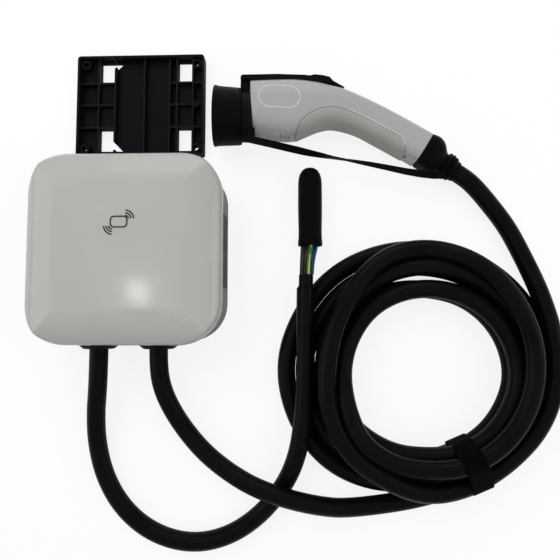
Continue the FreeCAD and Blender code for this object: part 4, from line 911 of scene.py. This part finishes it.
@dataclass
class PlugShell:
    """The plug's two shell halves and the soft grip, carried through sections of the side view."""

    stations: Sequence[tuple[Pair, Pair, float]] = (
        ((34.3, 32.9), (37.6, -16.8), 24), ((54.1, 34.6), (55.9, -20.2), 24.3),
        ((76.9, 35.9), (75.1, -21.5), 23.4), ((97.4, 34.6), (89.2, -15.9), 21.4),
        ((112.1, 31.7), (103.1, -9.8), 20), ((127, 28.1), (117.3, -7.8), 18.8),
        ((155.3, 16.4), (137.8, -12.8), 17.6), ((174.7, 6.9), (157.2, -22.4), 17.6),
        ((193.9, -3.2), (176.3, -32.5), 17.6), ((212.1, -13.1), (194.7, -42.5), 17.6))
    power: float = 2 / 2.7
    slot_half: float = 11.5
    slot_deep: float = 5.6
    slot_end: float = 126.0
    parting: float = 0.15
    pad_rise: float = 0.3
    pad_wall: float = 1.1
    pad_around: int = 24
    half_around: int = 34
    pad_line: Sequence[Pair] = (
        (2.24, -89.9), (2.27, -76.2), (2.31, -57), (2.4, -42.1), (2.58, -30.2), (2.9, -21.5), (3.38, -15),
        (4.04, -12), (4.74, -11.6), (5.32, -11.1), (5.8, -12.1), (6.27, -13.6), (6.77, -13.8), (7.26, -13.2),
        (7.6, -13.1), (7.82, -14.9), (8.01, -20.5), (8.17, -33.4), (8.3, -56.1), (8.39, -81.1), (8.4, -89.9))

    def _station(self, u: float) -> tuple[Vector, Vector, float]:
        """Top point, lower point and half width of the section at a place along the plug."""
        rows = [(Vector((*top, 0)), Vector((*low, 0)), side) for top, low, side in self.stations]
        index = min(int(u), len(rows) - 2)
        picked = []
        for start, end, before, after in zip(rows[index], rows[index + 1], rows[max(index - 1, 0)],
                                             rows[min(index + 2, len(rows) - 1)]):
            first = before if index > 0 else 2 * start - end
            last = after if index + 2 < len(rows) else 2 * end - start
            picked.append(eased((first, start, end, last), u - index))
        return tuple(picked)

    def spot(self, u: float, turn: float, side: int = 1, grow: float = 0.0) -> Vector:
        """A point of the skin: along the plug, round its section, on either side, raised by grow."""
        top, low, wide = self._station(u)
        up, tall = (top - low).normalized(), (top - low).length / 2
        s, c = math.sin(math.radians(turn)), max(0.0, math.cos(math.radians(turn)))
        across = Vector((0, 0, side * (wide + grow) * c ** self.power))
        return (top + low) / 2 + up * ((tall + grow) * math.copysign(abs(s) ** self.power, s)) + across

    def _columns(self, u: float) -> list[Pair]:
        """Turn and depth of each point round a half section, from the middle of the latch's slot."""
        wide = self._station(u)[2]
        deep = self.slot_deep if self._station(u)[0].x < self.slot_end else 0.0
        columns = []
        for share in (0.0, 0.33, 0.66, 0.985, 1.0):
            turn = math.degrees(math.acos((share * self.slot_half / wide) ** (1 / self.power)))
            columns.append((turn, deep if share < 1 else 0.0))
        edge = columns[-1][0]
        return columns + [(edge - (edge + 90) * step / self.half_around, 0.0)
                          for step in range(1, self.half_around + 1)]

    def half(self, side: int) -> Mesh:
        """One shell half in the plug's frame: its skin, ends and parting face."""
        last = len(self.stations) - 1
        rings = [(0.0, -1.1), (0.012, -0.4), (0.04, 0.0), *((0.125 * step, 0.0) for step in range(1, 8 * last)),
                 (4.92, 0.0), (4.93, 0.0), (last - 0.03, 0.0), (last, -0.6)]
        rings.sort(key=lambda ring: ring[0])
        around = len(self._columns(0))
        spots = [[self._point(u, grow, side, *column) for column in self._columns(u)] for u, grow in rings]
        work = laid_grid(len(rings) - 1, around, lambda row, column: spots[row][column % around])
        return closed_up(work, MERGE)

    def _point(self, u: float, grow: float, side: int, turn: float, deep: float) -> Vector:
        """A skin point, sunk where the latch lies and kept clear of the parting plane."""
        top, low, _ = self._station(u)
        spot = self.spot(u, turn, side, grow) - (top - low).normalized() * deep
        spot.z = side * max(side * spot.z, self.parting)
        return spot

    def _pad(self) -> Thing:
        """The soft grip that wraps the handle's lower side."""
        line = self._fine(self.pad_line, 3)

        def place(row: int, column: int) -> Vector:
            u, edge = line[row]
            share = 2 * column / self.pad_around - 1
            return self.spot(u, -90 + (edge + 90) * abs(share), 1 if share >= 0 else -1, self.pad_rise)

        work = laid_grid(len(line) - 1, self.pad_around, place)
        bmesh.ops.recalc_face_normals(work, faces=work.faces)
        pad = finish_piece(work, "grip_inlay", Body.BOX, GRIP, PLUG, ("grip_pad",), sharp=60)
        return walled(pad, self.pad_wall, 0)

    @staticmethod
    def _fine(line: Sequence[Pair], parts: int) -> list[Pair]:
        """The same line with more stations, eased between the given ones."""
        spots = []
        for index, (start, end) in enumerate(zip(line, line[1:])):
            before, after = line[max(index - 1, 0)], line[min(index + 2, len(line) - 1)]
            spots += [tuple(eased(row, step / parts) for row in zip(before, start, end, after))
                      for step in range(parts)]
        return [*spots, tuple(line[-1])]

    def build(self) -> BVHTree:
        """Makes both halves and the grip.

        Returns:
            The near half's faces, for laying lines on.
        """
        near = self.half(1)
        faces = BVHTree.FromBMesh(near)
        finish_piece(near, "shell_near_half", Body.BOX, SHELL, PLUG, ("plug_shell_upper",), sharp=40)
        finish_piece(self.half(-1), "shell_far_half", Body.BOX, SHELL, PLUG, ("plug_shell_lower",), sharp=40)
        self._pad()
        edge = [PLUG @ self.spot(u, turn + 0.6, 1, 0.1) for u, turn in self._fine(self.pad_line[1:-2], 4)]
        line_piece("grip_seam", [edge], 0.42, Body.BOX, GRIP_SEAM, [False])
        # a thin light line laid just above the pad's upper edge as a painted highlight
        highlight_line = [PLUG @ self.spot(u, turn + 3.0, 1, 0.15) for u, turn in self._fine(self.pad_line[9:18], 4)]
        line_piece("grip_bead", [highlight_line], 0.55, Body.BOX, SHELL_PAINTED_HIGHLIGHT, [False])
        marks = [[PLUG @ self.spot(u, turn, 1, 0.1) for turn in (-83, -77, -71)] for u in (1.46, 1.66, 1.86)]
        line_piece("lock_marks", marks, 0.5, Body.BOX, GRIP_SEAM, [False] * len(marks))
        return faces


@dataclass
class TailBoot:
    """The boot at the handle's end: a full shoulder, then a neck with two rings round the cable."""

    slope: float = -28.7
    around: int = 72
    rows: Sequence[tuple[float, float, float, float, float]] = (
        (82.4, 18.2, -13.6, 16.6, 0.75), (82.8, 18.9, -14.2, 17.2, 0.75), (84, 19.4, -14.7, 17.3, 0.76),
        (88, 20.4, -15, 17.2, 0.78), (92, 20.5, -15, 16.9, 0.8), (96, 19.4, -15, 16.3, 0.85),
        (99.5, 17, -14.4, 15.5, 0.9), (102.5, 13.6, -13.2, 13.8, 0.95), (104.6, 11.6, -11.2, 12, 1),
        (105.8, 11, -10.2, 11, 1), (107.4, 11, -9.8, 10.6, 1), (107.8, 12.6, -11.2, 12, 1),
        (108.6, 13.2, -11.6, 12.4, 1), (110.6, 13.1, -11.7, 12.4, 1), (111.4, 12.4, -11.2, 11.8, 1),
        (111.9, 10.6, -9.6, 10.2, 1), (113.8, 10.4, -9.8, 10.2, 1), (114.3, 11.6, -11, 11.4, 1),
        (115, 12.1, -11.5, 11.8, 1), (117, 11.9, -11.6, 11.8, 1), (117.7, 11.2, -11, 11.2, 1),
        (118.1, 9.9, -9.9, 10, 1), (121.5, 9.5, -9.9, 9.8, 1))

    def frame(self) -> tuple[Vector, Vector, Vector]:
        """The handle's root, its run and its upward side in the plug's frame."""
        turn = math.radians(self.slope)
        run = Vector((math.cos(turn), math.sin(turn), 0))
        return Vector((130, 9.8, 0)), run, Vector((-run.y, run.x, 0))

    def build(self) -> Thing:
        """Makes the boot from a grid laid through its sections."""
        root, run, side = self.frame()

        def place(row: int, column: int) -> Vector:
            along, top, low, wide, power = self.rows[row]
            turn = 2 * math.pi * column / self.around
            c, s = (math.copysign(abs(v) ** power, v) for v in (math.cos(turn), math.sin(turn)))
            return root + run * along + side * ((top + low) / 2 + (top - low) / 2 * c) + Vector((0, 0, wide * s))

        work = closed_up(laid_grid(len(self.rows) - 1, self.around, place), MERGE)
        return finish_piece(work, "ringed_boot", Body.BOX, CAP_RUBBER, PLUG, ("tail_boot",), sharp=50)


@dataclass
class VehiclePlug:
    """The plug: capped nose, shell with soft grip, latch lever, boot and the cap's strap."""

    badge_at: Pair = (62.6, 12.7)
    badge_half: Pair = (19.6, 10.8)
    badge_sink: float = 0.15
    strap_wide: float = 7.0
    strap_thick: float = 1.5
    lever_drop: Sequence[Pair] = (
        (27, 6.3), (36, 5.8), (51, 5.0), (60, 4.8), (82, 4.8), (92, 3.5), (104, 4.0), (112, 3.0), (126, 3.2))
    lever_inside: Point = (32, 100, 39.4)
    lever_thinned: float = 1.6
    rib_step: float = 2.4
    strap_line: Sequence[tuple[float, float, float, float]] = (
        (25.5, -24.6, 12.5, -8), (31, -25.4, 14, -6), (41, -27.4, 14, 0), (52, -29.3, 13, 5),
        (62, -30.8, 11.5, 12), (72, -32.2, 9, 22), (80, -33, 6.5, 32), (90, -34.2, 3.5, 46),
        (104, -35.9, 1, 70), (116, -37.6, 0, 90), (129, -39.4, 0, 116), (140, -41.2, 0.5, 128),
        (152, -43.4, 1.5, 138), (168, -46.8, 3.5, 148), (186, -51, 6.5, 162), (200, -53.8, 9.5, 184),
        (212, -55.2, 11, 208), (222.2, -54.8, 10.4, 224))

    def _badge_rim(self, faces: BVHTree) -> Thing:
        """The raised rim of the bare, pill-shaped badge field, laid on the shell, in a lighter colour as a
        painted highlight.
        """
        (x, y), (wide, tall) = self.badge_at, self.badge_half
        line = []
        for side, first in ((1, -90), (-1, 90)):
            for step in range(13):
                turn = math.radians(first + 15 * step)
                above = Vector((x + side * (wide - tall) + tall * math.cos(turn), y + tall * math.sin(turn), 80))
                hit = faces.ray_cast(above, Vector((0, 0, -1)))[0]
                line.append(PLUG @ (hit - Vector((0, 0, self.badge_sink))))
        return line_piece("badge_rim", [line], 0.5, Body.BOX, SHELL_PAINTED_HIGHLIGHT, [True])

    def _lower_lever(self, spot: Vector) -> Vector:
        """Where a point of the latch lever goes: down on to the shell's line."""
        rows = self.lever_drop
        drop = rows[0][1] if spot.x < rows[0][0] else rows[-1][1]
        for (x0, d0), (x1, d1) in zip(rows, rows[1:]):
            if x0 <= spot.x <= x1:
                drop = d0 + (d1 - d0) * (spot.x - x0) / (x1 - x0)
        first, last, level = self.lever_inside
        under = self.lever_thinned if spot.y < level and first < spot.x < last else 0.0
        return spot - Vector((0, drop + under, 0))

    def _cap(self) -> Thing:
        """The soft cap over the nose, with its rim lip and the raised ring at its back."""
        work = turned_piece([(0, 1.2), (22, 1.2), (25.4, 0.9), (26.6, 0.1), (28.2, 0), (28.8, 0.4),
                             (29.0, 1.2), (28.9, 2.6), (28.4, 3.3), (28.0, 8), (27.2, 21.4), (26.9, 22.4),
                             (27.3, 23), (27.2, 24.2), (26.8, 24.6), (26.6, 26.4), (26.1, 27), (24.4, 27),
                             (24.4, 3.2), (0, 3.2)], 96)
        return finish_piece(work, "nose_cap", Body.CAP, CAP_RUBBER, PLUG @ Matrix.Rotation(math.pi / 2, 4, "Y"),
                            ("dust_cap",), sharp=45)

    def _strap(self) -> Thing:
        """The cap's flat strap with its half twist, looped round the boot's neck."""
        points = [Vector(spot[:3]) for spot in self.strap_line]
        turns = [spot[3] for spot in self.strap_line]
        work = ribbon(frames_along(points, Vector((0, 1, 0)), turns), self.strap_wide, self.strap_thick)
        strap = finish_piece(work, "cap_tether", None, CAP_RUBBER, PLUG, ("cap_strap",), sharp=50, bevel=0.3)
        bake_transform(strap)
        return strap

    def _loop(self) -> Thing:
        """The strap's loop in the groove of the boot's neck."""
        root, run, side = TailBoot().frame()
        middle = root + run * 112.9 + side * 0.4
        work = turned_piece([(10.2, -0.9), (12.4, -0.9), (12.9, -0.5), (12.9, 0.5), (12.4, 0.9), (10.2, 0.9),
                             (10.2, -0.9)], 48)
        where = PLUG @ Matrix.Translation(middle) @ run.to_track_quat("Z", "Y").to_matrix().to_4x4()
        return finish_piece(work, "tether_loop", Body.BOX, CAP_RUBBER, where)

    def _collar_skirt(self) -> Thing:
        """The dark ring that fills the slanted space between the collar and the shell's front edge."""
        work = turned_piece([(20.45, 33.5), (24.05, 33.5), (24.05, 41), (20.45, 41), (20.45, 33.5)], 96)
        bmesh.ops.transform(work, matrix=Matrix.Rotation(math.pi / 2, 4, "Y"), verts=work.verts)
        cut = bmesh.ops.bisect_plane(work, geom=[*work.verts, *work.edges, *work.faces],
                                     plane_co=(33.9, 38, 0), plane_no=(61, 4, 0), clear_outer=True)
        bmesh.ops.holes_fill(work, edges=[e for e in cut["geom_cut"] if isinstance(e, bmesh.types.BMEdge)])
        return finish_piece(work, "collar_skirt", Body.BOX, PLUG_BLACK, PLUG, sharp=40)

    def _thumb_ribs(self) -> Thing:
        """The fine ribs across the lever's thumb pad."""
        lines = []
        for step in range(5):
            x, y = 98 + self.rib_step * step, 40.3 - 0.1 * step * step
            lines.append([PLUG @ Vector((x, y, -7)), PLUG @ Vector((x, y, 7))])
        return line_piece("thumb_ribs", lines, 0.55, Body.LATCH, PLUG_BLACK, [False] * len(lines))

    def build(self) -> list[Thing]:
        """Makes the plug's pieces.

        Returns:
            All pieces that hang on the cable's end, the kept solids among them.
        """
        before = set(bpy.data.objects)
        softened("plug_nose", Body.BOX, 0.3)
        softened("plug_collar", Body.BOX, 0.5)
        TailBoot().build()
        softened("latch_lever", Body.LATCH, 0.7, reshape=self._lower_lever)
        self._badge_rim(PlugShell().build())
        self._cap()
        self._strap()
        self._loop()
        self._collar_skirt()
        self._thumb_ribs()
        kept = ("contact_sleeves", "latch_pin", "shell_screws", "latch_spring", "latch_switch", "cable_clamp",
                "clamp_screws")
        made = [thing for thing in bpy.data.objects if thing not in before]
        return [*made, *(frame["nodes"][name] for name in kept)]


def main() -> None:
    """Builds every sub-assembly in turn."""
    logging.basicConfig(level=logging.INFO, format="%(message)s")
    Studio().build()
    for name, finish in NODE_FINISHES.items():
        mesh = frame["nodes"][name].data
        mesh.materials.clear()
        mesh.materials.append(finish.material())
    SupplyLead().build()
    tie = CoilTie().build()
    plug_pieces = VehiclePlug().build()
    ChargingCable().build([*plug_pieces, tie])
    WallBox().build()
    WallBracket().build()


if __name__ == "__main__":
    main()
